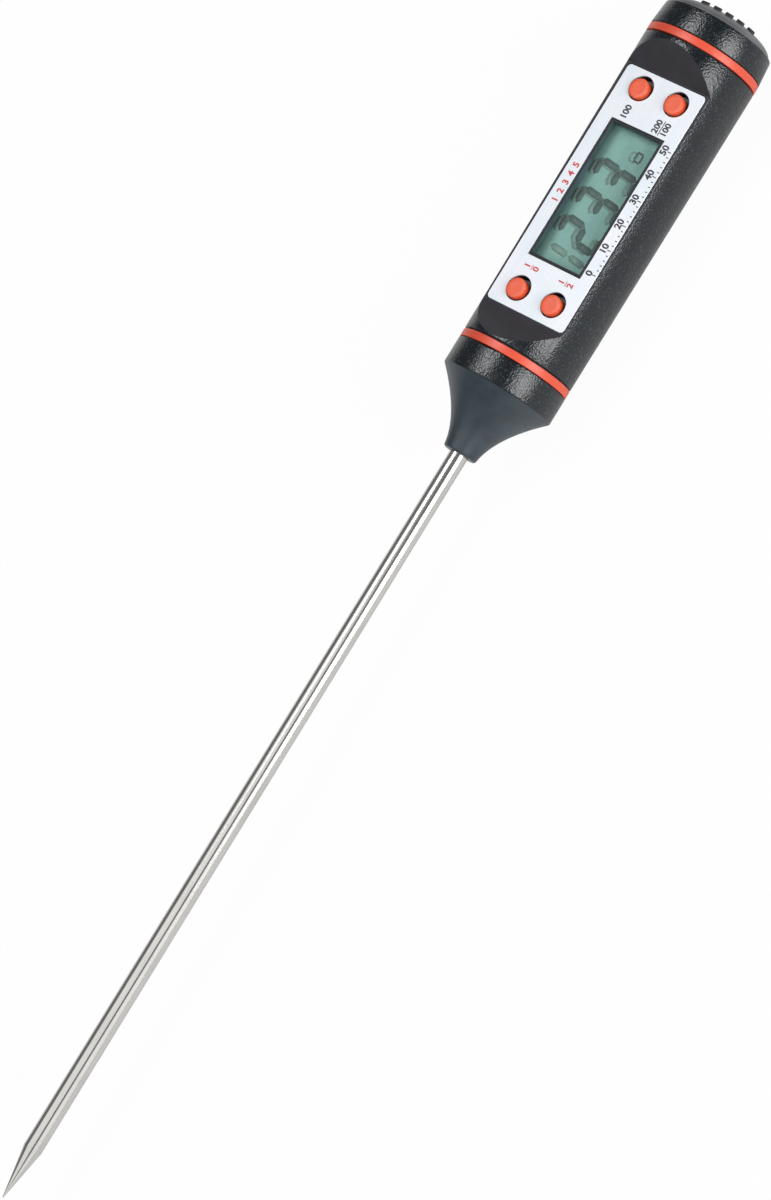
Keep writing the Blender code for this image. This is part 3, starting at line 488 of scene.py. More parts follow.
class Grain(Enum):
    """Direction of a metal's polishing marks."""

    ALONG = (0.03, 1.0, 1.0)
    ROUND = (1.0, 0.06, 0.06)
    EVEN = (1.0, 1.0, 1.0)


@dataclass(frozen=True)
class Metal:
    """Bare metal with fine polishing marks."""

    name: str
    color: Color
    tarnish: Color
    roughness: float = 0.10
    grain: Grain = Grain.ROUND
    grain_size: float = 0.12 * MM
    depth: float = 0.0015 * MM

    def build(self) -> bpy.types.Material:
        """Makes the material.

        Returns:
            The finished material.
        """
        nodes = Nodes(self.name)
        marks = nodes.noise(self.grain_size, 3.0, self.grain.value)
        cloud = nodes.noise(7 * MM, 2.0)
        nodes.shade({
            "Base Color": nodes.mix(cloud.above(0.4, 0.8) * 0.6 + (marks - 0.5) * 0.2, self.color, self.tarnish),
            "Metallic": 1.0,
            "Roughness": self.roughness + (marks - 0.5) * 0.10 + cloud * 0.04,
            "Normal": nodes.bump(marks, self.depth),
        })
        return nodes.material


@dataclass(frozen=True)
class BoardResist:
    """Green solder resist over copper tracks."""

    name: str = "solder_resist"
    color: Color = (0.020, 0.170, 0.070)
    track: Color = (0.045, 0.270, 0.110)
    pitch: float = 1.3 * MM

    def build(self) -> bpy.types.Material:
        """Makes the material.

        Returns:
            The finished material.
        """
        nodes = Nodes(self.name)
        inputs = {"Vector": nodes.place(), "Scale": 1 / self.pitch / math.tau, "Distortion": 1.5, "Detail": 1.0}
        wave = Value(nodes, nodes.add("ShaderNodeTexWave", {"bands_direction": "Y"}, inputs).outputs[1])
        tracks = wave.above(0.62, 0.70)
        fine = nodes.noise(0.15 * MM, 2.0)
        nodes.shade({
            "Base Color": nodes.mix(tracks, self.color, self.track),
            "Roughness": 0.35 + fine * 0.12,
            "Normal": nodes.bump(tracks, 0.03 * MM),
        })
        return nodes.material


# ---------------------------------------------------------------------------- mesh tools
def arc(centre: Point, radius: float, start: float, end: float, steps: int) -> list[Point]:
    """Points of an arc.

    Args:
        centre: its centre.
        radius: its radius.
        start: first angle in degrees.
        end: last angle in degrees.
        steps: number of steps between them.

    Returns:
        The points, both ends included.
    """
    angles = [math.radians(start + (end - start) * step / steps) for step in range(steps + 1)]
    return [(centre[0] + radius * math.cos(angle), centre[1] + radius * math.sin(angle)) for angle in angles]


def half_size(node: str, axis: int) -> float:
    """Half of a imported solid's size along an axis."""
    low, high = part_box(node)
    return (high[axis] - low[axis]) / 2


def stations(node: str) -> Point:
    """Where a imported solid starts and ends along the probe, from the point."""
    low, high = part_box(node)
    return low.x - TIP_X, high.x - TIP_X


def heights(node: str) -> Point:
    """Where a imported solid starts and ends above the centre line."""
    low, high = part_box(node)
    return low.z - AXIS_Z, high.z - AXIS_Z


class Bench:
    """Makes and shapes the pieces; every finished mesh holds its own place."""

    @staticmethod
    def solid(name: str, bm: bmesh.types.BMesh, finishes: Sequence[bpy.types.Material] = ()) -> bpy.types.Object:
        """Turns a bmesh in stations and heights into an object in the frame.

        Args:
            name: the object's name.
            bm: the mesh, freed here.
            finishes: its materials.

        Returns:
            The object.
        """
        bmesh.ops.translate(bm, verts=bm.verts, vec=(TIP_X, 0, AXIS_Z))
        bmesh.ops.recalc_face_normals(bm, faces=bm.faces)
        mesh = bpy.data.meshes.new(name)
        bm.to_mesh(mesh)
        bm.free()
        mesh.shade_smooth()
        obj = bpy.data.objects.new(name, mesh)
        bpy.context.scene.collection.objects.link(obj)
        for finish in finishes:
            mesh.materials.append(finish)
        return obj

    @staticmethod
    def turned(
        name: str,
        profile: Sequence[Point],
        finishes: Sequence[bpy.types.Material] = (),
        segments: int = 160,
        centre: tuple[float, float, float] = (0, 0, 0),
        upright: bool = False,
    ) -> bpy.types.Object:
        """Turns (station, radius) points about the centre line or an upright line.

        Args:
            name: the object's name.
            profile: the points; one that starts off the axis closes on itself.
            finishes: its materials.
            segments: steps round.
            centre: a point on the axis, as station, side and height.
            upright: whether the axis stands along Z.

        Returns:
            The object.
        """
        bm = bmesh.new()
        verts = [bm.verts.new((s, r, 0)) for s, r in profile]
        pairs = list(zip(verts, verts[1:]))
        if profile[0][1] > 0:
            pairs.append((verts[-1], verts[0]))
        edges = [bm.edges.new(pair) for pair in pairs]
        bmesh.ops.spin(
            bm, geom=verts + edges, cent=(0, 0, 0), axis=(1, 0, 0), angle=math.tau, steps=segments
        )
        bmesh.ops.remove_doubles(bm, verts=bm.verts, dist=1e-7)
        if upright:
            turn = Matrix.Rotation(-math.pi / 2, 3, "Y")
            bmesh.ops.rotate(bm, verts=bm.verts, cent=(0, 0, 0), matrix=turn)
        bmesh.ops.translate(bm, verts=bm.verts, vec=centre)
        obj = Bench.solid(name, bm, finishes)
        obj.data.set_sharp_from_angle(angle=math.radians(32))
        return obj

    @staticmethod
    def prism(
        name: str,
        outline: Sequence[Point],
        low: float,
        high: float,
        finishes: Sequence[bpy.types.Material] = (),
        sideways: bool = False,
    ) -> bpy.types.Object:
        """Extrudes an outline.

        Args:
            name: the object's name.
            outline: points as station and side, or as station and height when sideways.
            low: where it starts along Z, or along Y when sideways.
            high: where it ends.
            finishes: its materials.
            sideways: whether it is extruded along Y.

        Returns:
            The object.
        """
        bm = bmesh.new()
        corners = [bm.verts.new((a, low, b) if sideways else (a, b, low)) for a, b in outline]
        face = bm.faces.new(corners)
        grown = bmesh.ops.extrude_face_region(bm, geom=[face])["geom"]
        moved = [item for item in grown if isinstance(item, bmesh.types.BMVert)]
        push = Vector((0, high - low, 0)) if sideways else Vector((0, 0, high - low))
        bmesh.ops.translate(bm, verts=moved, vec=push)
        obj = Bench.solid(name, bm, finishes)
        obj.data.set_sharp_from_angle(angle=math.radians(32))
        return obj

    @staticmethod
    def settle(obj: bpy.types.Object) -> bpy.types.Object:
        """Turns an object's modifiers into its plain mesh.

        Args:
            obj: the object with live modifiers.

        Returns:
            The same object without modifiers.
        """
        graph = bpy.context.evaluated_depsgraph_get()
        mesh = bpy.data.meshes.new_from_object(obj.evaluated_get(graph), depsgraph=graph)
        obj.modifiers.clear()
        obj.data = mesh
        return obj

    @staticmethod
    def combine(
        target: bpy.types.Object, tools: Iterable[bpy.types.Object], operation: str = "DIFFERENCE"
    ) -> bpy.types.Object:
        """Cuts a target by some tools, or joins them to it, and deletes the tools.

        Args:
            target: the object that is shaped.
            tools: closed solids.
            operation: the Boolean modifier's operation.

        Returns:
            The target.
        """
        tools = list(tools)
        for tool in tools:
            modifier = target.modifiers.new(tool.name, "BOOLEAN")
            modifier.operation = operation
            modifier.solver = "EXACT"
            modifier.object = tool
        Bench.settle(target)
        for tool in tools:
            bpy.data.objects.remove(tool, do_unlink=True)
        return target

    @staticmethod
    def soften(obj: bpy.types.Object, width: float, angle: float = 60.0, segments: int = 1) -> bpy.types.Object:
        """Rounds the edges sharper than an angle.

        Args:
            obj: the object.
            width: width of the rounding.
            angle: least angle in degrees.
            segments: steps across it.

        Returns:
            The object.
        """
        modifier = obj.modifiers.new("soften", "BEVEL")
        modifier.width = width
        modifier.segments = segments
        modifier.limit_method = "ANGLE"
        modifier.angle_limit = math.radians(angle)
        modifier.harden_normals = False
        Bench.settle(obj)
        obj.data.shade_smooth()
        obj.data.set_sharp_from_angle(angle=math.radians(28))
        return obj

    @staticmethod
    def paint(obj: bpy.types.Object, choose: Callable[[Vector, Vector], int]) -> None:
        """Gives each face a material.

        Args:
            obj: the object.
            choose: names the material's index from a face's centre, as station, side and height, and normal.
        """
        origin = Vector((TIP_X, 0, AXIS_Z))
        for face in obj.data.polygons:
            face.material_index = choose(face.center - origin, face.normal)

    @staticmethod
    def seat(obj: bpy.types.Object, body: str, slot: str, *replaced: str) -> bpy.types.Object:
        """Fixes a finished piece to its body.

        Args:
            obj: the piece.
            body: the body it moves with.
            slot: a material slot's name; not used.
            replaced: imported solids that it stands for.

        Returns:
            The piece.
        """
        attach(obj, body)
        if replaced:
            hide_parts(*replaced)
        LOG.info("%s: %d faces on %s", obj.name, len(obj.data.polygons), body)
        return obj


def rounded(x_low: float, x_high: float, width: float, corner: float, steps: int = 6) -> list[Point]:
    """Outline of a rectangle centred on the middle line.

    Args:
        x_low: station of its first end.
        x_high: station of its other end.
        width: size across.
        corner: radius of its corners, or 0.
        steps: steps round each corner.

    Returns:
        The outline.
    """
    half = width / 2
    if corner <= 0:
        return [(x_low, -half), (x_high, -half), (x_high, half), (x_low, half)]
    points: list[Point] = []
    middles = ((x_high - corner, half - corner), (x_low + corner, half - corner))
    middles += ((x_low + corner, corner - half), (x_high - corner, corner - half))
    for quarter, middle in enumerate(middles):
        points += arc(middle, corner, 90 * quarter, 90 * quarter + 90, steps)
    return points


# ---------------------------------------------------------------------------- handle
@dataclass
class Handle:
    """The textured tube with its flat face, the nose and the two trim rings."""

    texture: bpy.types.Material
    panel: bpy.types.Material
    nose_skin: bpy.types.Material
    trim: bpy.types.Material
    wall: float = 1.48 * MM
    neck_wall: float = 0.8 * MM
    face_margin: float = 0.3 * MM
    front_ramp: float = math.radians(40)
    rear_ramp: float = math.radians(46)
    pocket_gap: float = 0.15 * MM
    ring_gap: float = 0.30 * MM
    edge: float = 0.11 * MM
    ramp_reach: float = 12 * MM   # past the label's ends, beyond both ramps
    sunk_by: float = 0.06 * MM    # least depth under the tube that counts as the recess
    seam_angle: float = math.radians(-94)  # from +Z towards -Y
    seam_width: float = 0.24 * MM
    seam_depth: float = 0.12 * MM
    nose_length: float = 12.6 * MM
    nose_start: float = 150 * MM
    nose_tip_radius: float = 3.2 * MM
    nose_power: float = 1.7
    nose_edge: float = 0.45 * MM
    spigot_wall: float = 1.4 * MM
    hollow_start: float = 6 * MM     # the bush's seat, from the nose's small end
    hollow_end: float = 9.85 * MM
    hollow_radius: float = 3.4 * MM
    tube_room: float = 0.1 * MM
    segments: int = 192

    def __post_init__(self) -> None:
        """Reads the sizes that the frame gives."""
        self.front_x = stations("lower_trim_ring")[1]
        self.rear_x = stations("upper_trim_ring")[1]
        self.front_radius = half_size("lower_trim_ring", 2)
        self.rear_radius = half_size("upper_trim_ring", 2)
        self.label_x = stations("label_plate")
        self.face_height = heights("label_plate")[1]
        self.bore = self.radius(self.front_x) - self.wall

    def radius(self, station: float) -> float:
        """The tube's outer radius at a station."""
        share = (station - self.front_x) / (self.rear_x - self.front_x)
        return self.front_radius + share * (self.rear_radius - self.front_radius)

    def scoop(self) -> bpy.types.Object:
        """The space over the flat face and its two ramps.

        Returns:
            A closed cutter.
        """
        top = self.rear_radius + self.wall
        rise = top - self.face_height
        front, rear = self.label_x[0] - self.face_margin, self.label_x[1] + self.face_margin
        outline = [
            (front, self.face_height),
            (rear, self.face_height),
            (rear + rise / math.tan(self.rear_ramp), top),
            (front - rise / math.tan(self.front_ramp), top),
        ]
        return Bench.prism("scoop", outline, -top, top, [self.texture, self.panel], sideways=True)

    def seam_tool(self, start: float, end: float) -> bpy.types.Object:
        """A thin wedge that cuts the mould's parting line along one side of the tube.

        Args:
            start: its first station.
            end: its last station.

        Returns:
            A closed cutter.
        """
        outer = self.rear_radius + self.wall
        half = self.seam_width / 2
        inner = self.radius(start) - self.seam_depth
        bm = bmesh.new()
        rows = []
        for station in (start, end):
            reach = inner + self.radius(station) - self.radius(start)
            corners = ((reach, 0.0), (outer, -half * 4), (outer, half * 4))
            rows.append([bm.verts.new((station, side, depth)) for depth, side in corners])
        for index in range(3):
            after = (index + 1) % 3
            bm.faces.new((rows[0][index], rows[0][after], rows[1][after], rows[1][index]))
        bm.faces.new(rows[0])
        bm.faces.new(rows[1])
        turn = Matrix.Rotation(-self.seam_angle, 3, "X")
        bmesh.ops.rotate(bm, verts=bm.verts, cent=(0, 0, 0), matrix=turn)
        return Bench.solid("seam_tool", bm, [self.texture, self.panel])

    def build_housing(self, openings: Callable[[], list[bpy.types.Object]]) -> None:
        """Turns the tube, cuts it and gives the face its smooth finish.

        Args:
            openings: makes the cutters of the pocket, the window and the key holes.
        """
        neck = self.bore + self.neck_wall
        ends = stations("main_housing")
        start, end = self.front_x + self.ring_gap, stations("upper_trim_ring")[0] - self.ring_gap
        edge = self.edge
        profile = [(ends[0], self.bore), (ends[0], neck), (start, neck)]
        profile += arc((start + edge, self.radius(start) - edge), edge, 180, 90, 3)
        profile += arc((end - edge, self.radius(end) - edge), edge, 90, 0, 3)
        profile += [(end, neck), (ends[1], neck), (ends[1], self.bore)]
        finishes = [self.texture, self.panel]
        housing = Bench.turned("handle_housing", profile, finishes, self.segments)
        roof = self.scoop()
        Bench.combine(housing, [roof, self.seam_tool(start - edge, end + edge)])
        Bench.combine(housing, [self.face_wall(self.wall)], "UNION")
        Bench.combine(housing, openings())
        Bench.soften(housing, self.edge)
        top = self.face_height + self.edge

        def choose(centre: Vector, normal: Vector) -> int:
            """Smooth on the flat face and its ramps, textured elsewhere.

            Args:
                centre: the face's middle, as station, side and height.
                normal: the way that it faces.

            Returns:
                The slot of its finish.
            """
            across = math.hypot(centre.y, centre.z)
            inside = self.label_x[0] - self.ramp_reach < centre.x < self.label_x[1] + self.ramp_reach
            sunk = across < self.radius(centre.x) - self.sunk_by
            return 1 if inside and sunk and centre.z > 0 and (normal.z > 0.3 or centre.z < top) else 0

        Bench.paint(housing, choose)
        Bench.seat(housing, "handle", "handle_black", "main_housing")

    def face_wall(self, depth: float) -> bpy.types.Object:
        """The wall under the flat face and its ramps, as a bent plate trimmed by the tube.

        Args:
            depth: the wall's thickness.

        Returns:
            A closed plate.
        """
        low = self.face_height - depth
        front, rear = self.label_x[0] - self.face_margin, self.label_x[1] + self.face_margin
        reach = self.bore + self.wall / 2
        climb = reach - self.face_height
        outline = [
            (front, self.face_height),
            (front - climb / math.tan(self.front_ramp), self.face_height + climb),
            (front - (climb + 2 * depth) / math.tan(self.front_ramp), self.face_height + climb),
            (front - depth * math.tan(self.front_ramp / 2), low),
            (rear + depth * math.tan(self.rear_ramp / 2), low),
            (rear + (climb + 2 * depth) / math.tan(self.rear_ramp), self.face_height + climb),
            (rear + climb / math.tan(self.rear_ramp), self.face_height + climb),
            (rear, self.face_height),
        ]
        plate = Bench.prism("face_wall", outline, -reach, reach, [self.texture, self.panel], sideways=True)
        ends = stations("main_housing")
        core_profile = [(ends[0], 0.0), (ends[0], reach), (ends[1], reach), (ends[1], 0.0)]
        core = Bench.turned("face_wall_core", core_profile, [self.texture, self.panel], self.segments)
        return Bench.combine(plate, [core], "INTERSECT")

    def build_nose(self) -> None:
        """The flared nose with its textured collar."""
        start, end = self.nose_start, stations("lower_trim_ring")[0] - self.pocket_gap
        flare_end = start + self.nose_length
        big = self.front_radius
        edge = self.nose_edge
        outer = arc((start + edge, self.nose_tip_radius - edge), edge, 180, 90, 5)
        steps = 40
        for step in range(2, steps + 1):
            share = step / steps
            rise = (big - self.nose_tip_radius) * share**self.nose_power
            outer.append((start + self.nose_length * share, self.nose_tip_radius + rise))
        outer[-1] = (flare_end - self.edge, outer[-1][1] - self.edge)
        outer += arc((flare_end + self.edge, big - self.edge), self.edge, 120, 90, 2)
        outer += arc((end - self.edge, big - self.edge), self.edge, 90, 0, 3)
        spigot = self.bore - self.pocket_gap
        spigot_end = stations("nose_cone")[1]
        hole = half_size("probe_tube", 2) + self.tube_room
        inner = [(end, spigot), (spigot_end, spigot), (spigot_end, spigot - self.spigot_wall)]
        inner += [(flare_end + self.wall, spigot - self.spigot_wall), (start + self.hollow_end, self.hollow_radius)]
        inner += [(start + self.hollow_start, self.hollow_radius), (start + self.hollow_start, hole), (start, hole)]
        nose = Bench.turned("nose", outer + inner, [self.nose_skin, self.texture], self.segments)
        spigot_low = self.face_height - self.wall - self.pocket_gap
        front = self.label_x[0] - self.face_margin - self.wall * math.tan(self.front_ramp / 2)
        outline = [
            (front, spigot_low),
            (front + self.wall, spigot_low),
            (front + self.wall, 2 * big),
            (front - (2 * big - spigot_low) / math.tan(self.front_ramp), 2 * big),
        ]
        finishes = [self.nose_skin, self.texture]
        relief = Bench.prism("relief", outline, -2 * big, 2 * big, finishes, sideways=True)
        Bench.combine(nose, [relief])
        nose.data.shade_smooth()
        nose.data.set_sharp_from_angle(angle=math.radians(32))
        Bench.paint(nose, lambda centre, normal: 1 if centre.x > flare_end - FINISH_MARGIN else 0)
        Bench.seat(nose, "handle", "nose_slate", "nose_cone")

    def build_rings(self) -> None:
        """The two orange rings, with rounded edges."""
        neck = self.bore + self.neck_wall + self.pocket_gap
        for node in ("lower_trim_ring", "upper_trim_ring"):
            start, end = stations(node)
            radius = half_size(node, 2)
            edge = self.edge
            profile = [(start, neck)]
            profile += arc((start + edge, radius - edge), edge, 180, 90, 4)
            profile += arc((end - edge, radius - edge), edge, 90, 0, 4) + [(end, neck)]
            ring = Bench.turned(f"{node}_round", profile, [self.trim], self.segments)
            Bench.seat(ring, "handle", "trim_orange", node)


@dataclass
class Probe:
    """The polished tube and its ground point."""

    steel: bpy.types.Material
    wall: float = 0.35 * MM
    point_length: float = 9.8 * MM
    tip_radius: float = 0.12 * MM
    segments: int = 96

    def build(self) -> None:
        """Makes both pieces."""
        radius = half_size("probe_tube", 2)
        start, end = stations("probe_tube")
        tube_profile = [(start, radius - self.wall), (start, radius), (end, radius), (end, radius - self.wall)]
        tube = Bench.turned("polished_tube", tube_profile, [self.steel], self.segments)
        Bench.seat(tube, "handle", "probe_steel", "probe_tube")
        cone = [(0.0, 0.0)]
        cone += arc((self.tip_radius, 0.0), self.tip_radius, 180, 100, 4)[1:]
        shoulder = 0.5 * MM
        slope = (radius - self.tip_radius) / self.point_length
        cone += [(self.point_length - shoulder, radius - slope * shoulder)]
        cone += [(self.point_length - shoulder * 0.3, radius - slope * shoulder * 0.22)]
        cone += [(start - 0.01 * MM, radius), (start - 0.01 * MM, radius - self.wall), (start, 0.0)]
        point = Bench.turned("ground_point", cone, [self.steel], self.segments)
        Bench.seat(point, "handle", "probe_steel", "probe_point")


# ---------------------------------------------------------------------------- repeated pieces
class Repeater:
    """Geometry Nodes on one object: instances a shape on a row of points."""

    def __init__(self, name: str) -> None:
        """Makes the object and an empty tree.

        Args:
            name: the object's name.
        """
        self.obj = bpy.data.objects.new(name, bpy.data.meshes.new(name))
        bpy.context.scene.collection.objects.link(self.obj)
        self.tree = bpy.data.node_groups.new(f"{name}_tree", "GeometryNodeTree")
        self.tree.interface.new_socket("Geometry", in_out="OUTPUT", socket_type="NodeSocketGeometry")
        self.inputs = self.tree.nodes.new("NodeGroupInput")
        self.values: dict[str, Any] = {}

    def named(self, name: str, value: Any, kind: str = "NodeSocketFloat") -> bpy.types.NodeSocket:
        """Adds an input of the modifier.

        Args:
            name: the input's name.
            value: what it is set to.
            kind: its socket type.

        Returns:
            The socket inside the tree.
        """
        item = self.tree.interface.new_socket(name, in_out="INPUT", socket_type=kind)
        self.values[item.identifier] = value
        return next(out for out in self.inputs.outputs if out.identifier == item.identifier)

    def add(self, kind: str, settings: dict[str, Any], inputs: dict[Any, Any]) -> bpy.types.Node:
        """Adds a node.

        Args:
            kind: the node's type.
            settings: attributes, set before the sockets.
            inputs: values or links of its sockets, by name or index.

        Returns:
            The node.
        """
        node = self.tree.nodes.new(kind)
        for key, value in settings.items():
            setattr(node, key, value)
        for key, value in inputs.items():
            if isinstance(value, bpy.types.NodeSocket):
                self.tree.links.new(value, node.inputs[key])
            else:
                node.inputs[key].default_value = value
        return node

    def math(self, operation: str, *terms: Any) -> bpy.types.NodeSocket:
        """One Math node on some terms."""
        return self.add("ShaderNodeMath", {"operation": operation}, dict(enumerate(terms))).outputs[0]

    def finish(self, shape: bpy.types.NodeSocket, material: bpy.types.NodeSocket) -> bpy.types.Object:
        """Realizes the instances, sets their material and turns them into a plain mesh.

        Args:
            shape: the geometry.
            material: the material's input.

        Returns:
            The object.
        """
        coat = self.add("GeometryNodeSetMaterial", {}, {"Geometry": shape, "Material": material}).outputs[0]
        end = self.tree.nodes.new("NodeGroupOutput")
        self.tree.links.new(coat, end.inputs[0])
        modifier = self.obj.modifiers.new("repeat", "NODES")
        modifier.node_group = self.tree
        for identifier, value in self.values.items():
            modifier[identifier] = value
        Bench.settle(self.obj)
        return self.obj


# ---------------------------------------------------------------------------- cap
@dataclass
class Cap:
    """The battery cap: textured side, satin dome with finger ribs, hollow spigot."""

    texture: bpy.types.Material
    # the dome's pale satin grey, partly a painted sheen
    skin: bpy.types.Material
    rib_skin: bpy.types.Material
    gap: float = 0.15 * MM
    side_length: float = 4.65 * MM
    taper: float = 0.4 * MM
    edge: float = 0.3 * MM
    step: float = 0.25 * MM
    dome_height: float = 2.75 * MM
    wall: float = 1.4 * MM
    spigot_radius: float = 9.05 * MM
    groove_depth: float = 0.92 * MM
    groove_half: float = 0.52 * MM
    cavity_radius: float = 7.4 * MM
    boss_radius: float = 2.5 * MM
    rib_count: int = 5
    rib_pitch: float = 2.3 * MM
    rib_width: float = 1.5 * MM
    rib_height: float = 0.5 * MM
    rib_reach: float = 8.0 * MM
    rib_turn: float = math.radians(34)
    rib_edge: float = 0.14 * MM
    segments: int = 192

    def __post_init__(self) -> None:
        """Reads the sizes that the frame gives."""
        self.start = stations("upper_trim_ring")[1] + self.gap
        self.side_radius = half_size("upper_trim_ring", 2)
        self.rim = self.start + self.side_length
        self.reach = self.side_radius - self.taper - self.edge - self.step

    def dome(self, radius: float) -> float:
        """Station of the dome's surface at a radius."""
        return self.rim + self.dome_height * math.sqrt(max(0.0, 1 - (radius / self.reach) ** 2))

    def build(self) -> None:
        """Makes the cap and its ribs."""
        rim_radius = self.side_radius - self.taper
        spigot_start = stations("battery_cap")[0]
        middle = (spigot_start + self.start - self.gap) / 2
        fine = self.edge * 0.4
        outside = [(self.dome(0), 0.0)]
        outside += [(self.dome(r), r) for r in (self.reach * math.sin(math.pi * k / 64) for k in range(1, 32))]
        outside += [(self.rim, self.reach)]
        outside += arc((self.rim - self.edge, rim_radius - self.edge), self.edge, 0, 86, 5)
        outside += arc((self.start + fine, self.side_radius - fine), fine, 92, 180, 4)
        outside += [(self.start, self.spigot_radius), (middle + self.groove_half, self.spigot_radius)]
        groove = self.spigot_radius - self.groove_depth
        outside += [(middle + self.groove_half, groove), (middle - self.groove_half, groove)]
        outside += [(middle - self.groove_half, self.spigot_radius), (spigot_start, self.spigot_radius)]
        boss_start = stations("button_cell")[1] + self.gap
        inside = [(spigot_start, self.cavity_radius), (self.dome(self.cavity_radius) - self.wall, self.cavity_radius)]
        middle_radius = (self.cavity_radius + self.boss_radius) / 2
        inside += [(self.dome(radius) - self.wall, radius) for radius in (middle_radius, self.boss_radius)]
        inside += [(boss_start, self.boss_radius), (boss_start, 0.0)]
        cap = Bench.turned("cap", outside + inside, [self.texture, self.skin], self.segments)
        smooth_from = self.rim - FINISH_MARGIN
        start = self.start

        def choose(centre: Vector, normal: Vector) -> int:
            """Satin grey, its paleness partly a painted sheen, on the dome and inside; textured on the side."""
            return 1 if centre.x > smooth_from or centre.x < start else 0

        Bench.paint(cap, choose)
        Bench.seat(cap, "cap", "cap_black", "battery_cap")
        Bench.seat(self.ribs(), "cap", "cap_black")

    def ribs(self) -> bpy.types.Object:
        """The finger ribs, which follow the dome.

        Returns:
            All ribs as one mesh.
        """
        rows = Repeater("grip_ribs")
        count = rows.named("Count", self.rib_count, "NodeSocketInt")
        pitch = rows.named("Pitch", self.rib_pitch)
        reach = rows.named("Patch radius", self.rib_reach)
        width = rows.named("Width", self.rib_width)
        dome = rows.named("Dome radius", self.reach)
        bulge = rows.named("Dome height", self.dome_height)
        material = rows.named("Material", self.rib_skin, "NodeSocketMaterial")
        height = self.rib_height + self.wall / 2
        first = rows.math("MULTIPLY", rows.math("MULTIPLY", rows.math("SUBTRACT", count, 1.0), pitch), -0.5)
        begin = rows.add("ShaderNodeCombineXYZ", {}, {"Y": first}).outputs[0]
        stride = rows.add("ShaderNodeCombineXYZ", {}, {"Y": pitch}).outputs[0]
        line = rows.add("GeometryNodeMeshLine", {}, {"Count": count, "Start Location": begin, "Offset": stride})
        size = rows.add("ShaderNodeCombineXYZ", {}, {"X": height, "Y": width, "Z": 1.0}).outputs[0]
        cube_inputs = {"Size": size, "Vertices X": 2, "Vertices Y": 2, "Vertices Z": 33}
        cube = rows.add("GeometryNodeMeshCube", {}, cube_inputs).outputs[0]
        place = rows.add("GeometryNodeInputPosition", {}, {}).outputs[0]
        side = rows.add("ShaderNodeSeparateXYZ", {}, {0: place}).outputs[1]
        square = rows.math("SUBTRACT", rows.math("POWER", reach, 2.0), rows.math("MULTIPLY", side, side))
        long = rows.math("MULTIPLY", rows.math("SQRT", square), 2.0)
        scale = rows.add("ShaderNodeCombineXYZ", {}, {"X": 1.0, "Y": 1.0, "Z": long}).outputs[0]
        on_points = {"Points": line.outputs[0], "Instance": cube, "Scale": scale}
        laid = rows.add("GeometryNodeInstanceOnPoints", {}, on_points)
        real = rows.add("GeometryNodeRealizeInstances", {}, {0: laid.outputs[0]}).outputs[0]
        across = rows.math("DIVIDE", rows.add("ShaderNodeVectorMath", {"operation": "LENGTH"}, {
            0: rows.add("ShaderNodeVectorMath", {"operation": "MULTIPLY"}, {0: place, 1: (0, 1, 1)}).outputs[0],
        }).outputs["Value"], dome)
        fall = rows.math("SQRT", rows.math("SUBTRACT", 1.0, rows.math("MULTIPLY", across, across)))
        lift = rows.add("ShaderNodeCombineXYZ", {}, {"X": rows.math("MULTIPLY", fall, bulge)}).outputs[0]
        bent = rows.add("GeometryNodeSetPosition", {}, {"Geometry": real, "Offset": lift}).outputs[0]
        ribs = rows.finish(bent, material)
        place_x = TIP_X + self.rim + self.rib_height - height / 2
        ribs.data.transform(
            Matrix.Translation((place_x, 0, AXIS_Z)) @ Matrix.Rotation(self.rib_turn, 4, "X")
        )
        return Bench.soften(ribs, self.rib_edge, 60, 3)


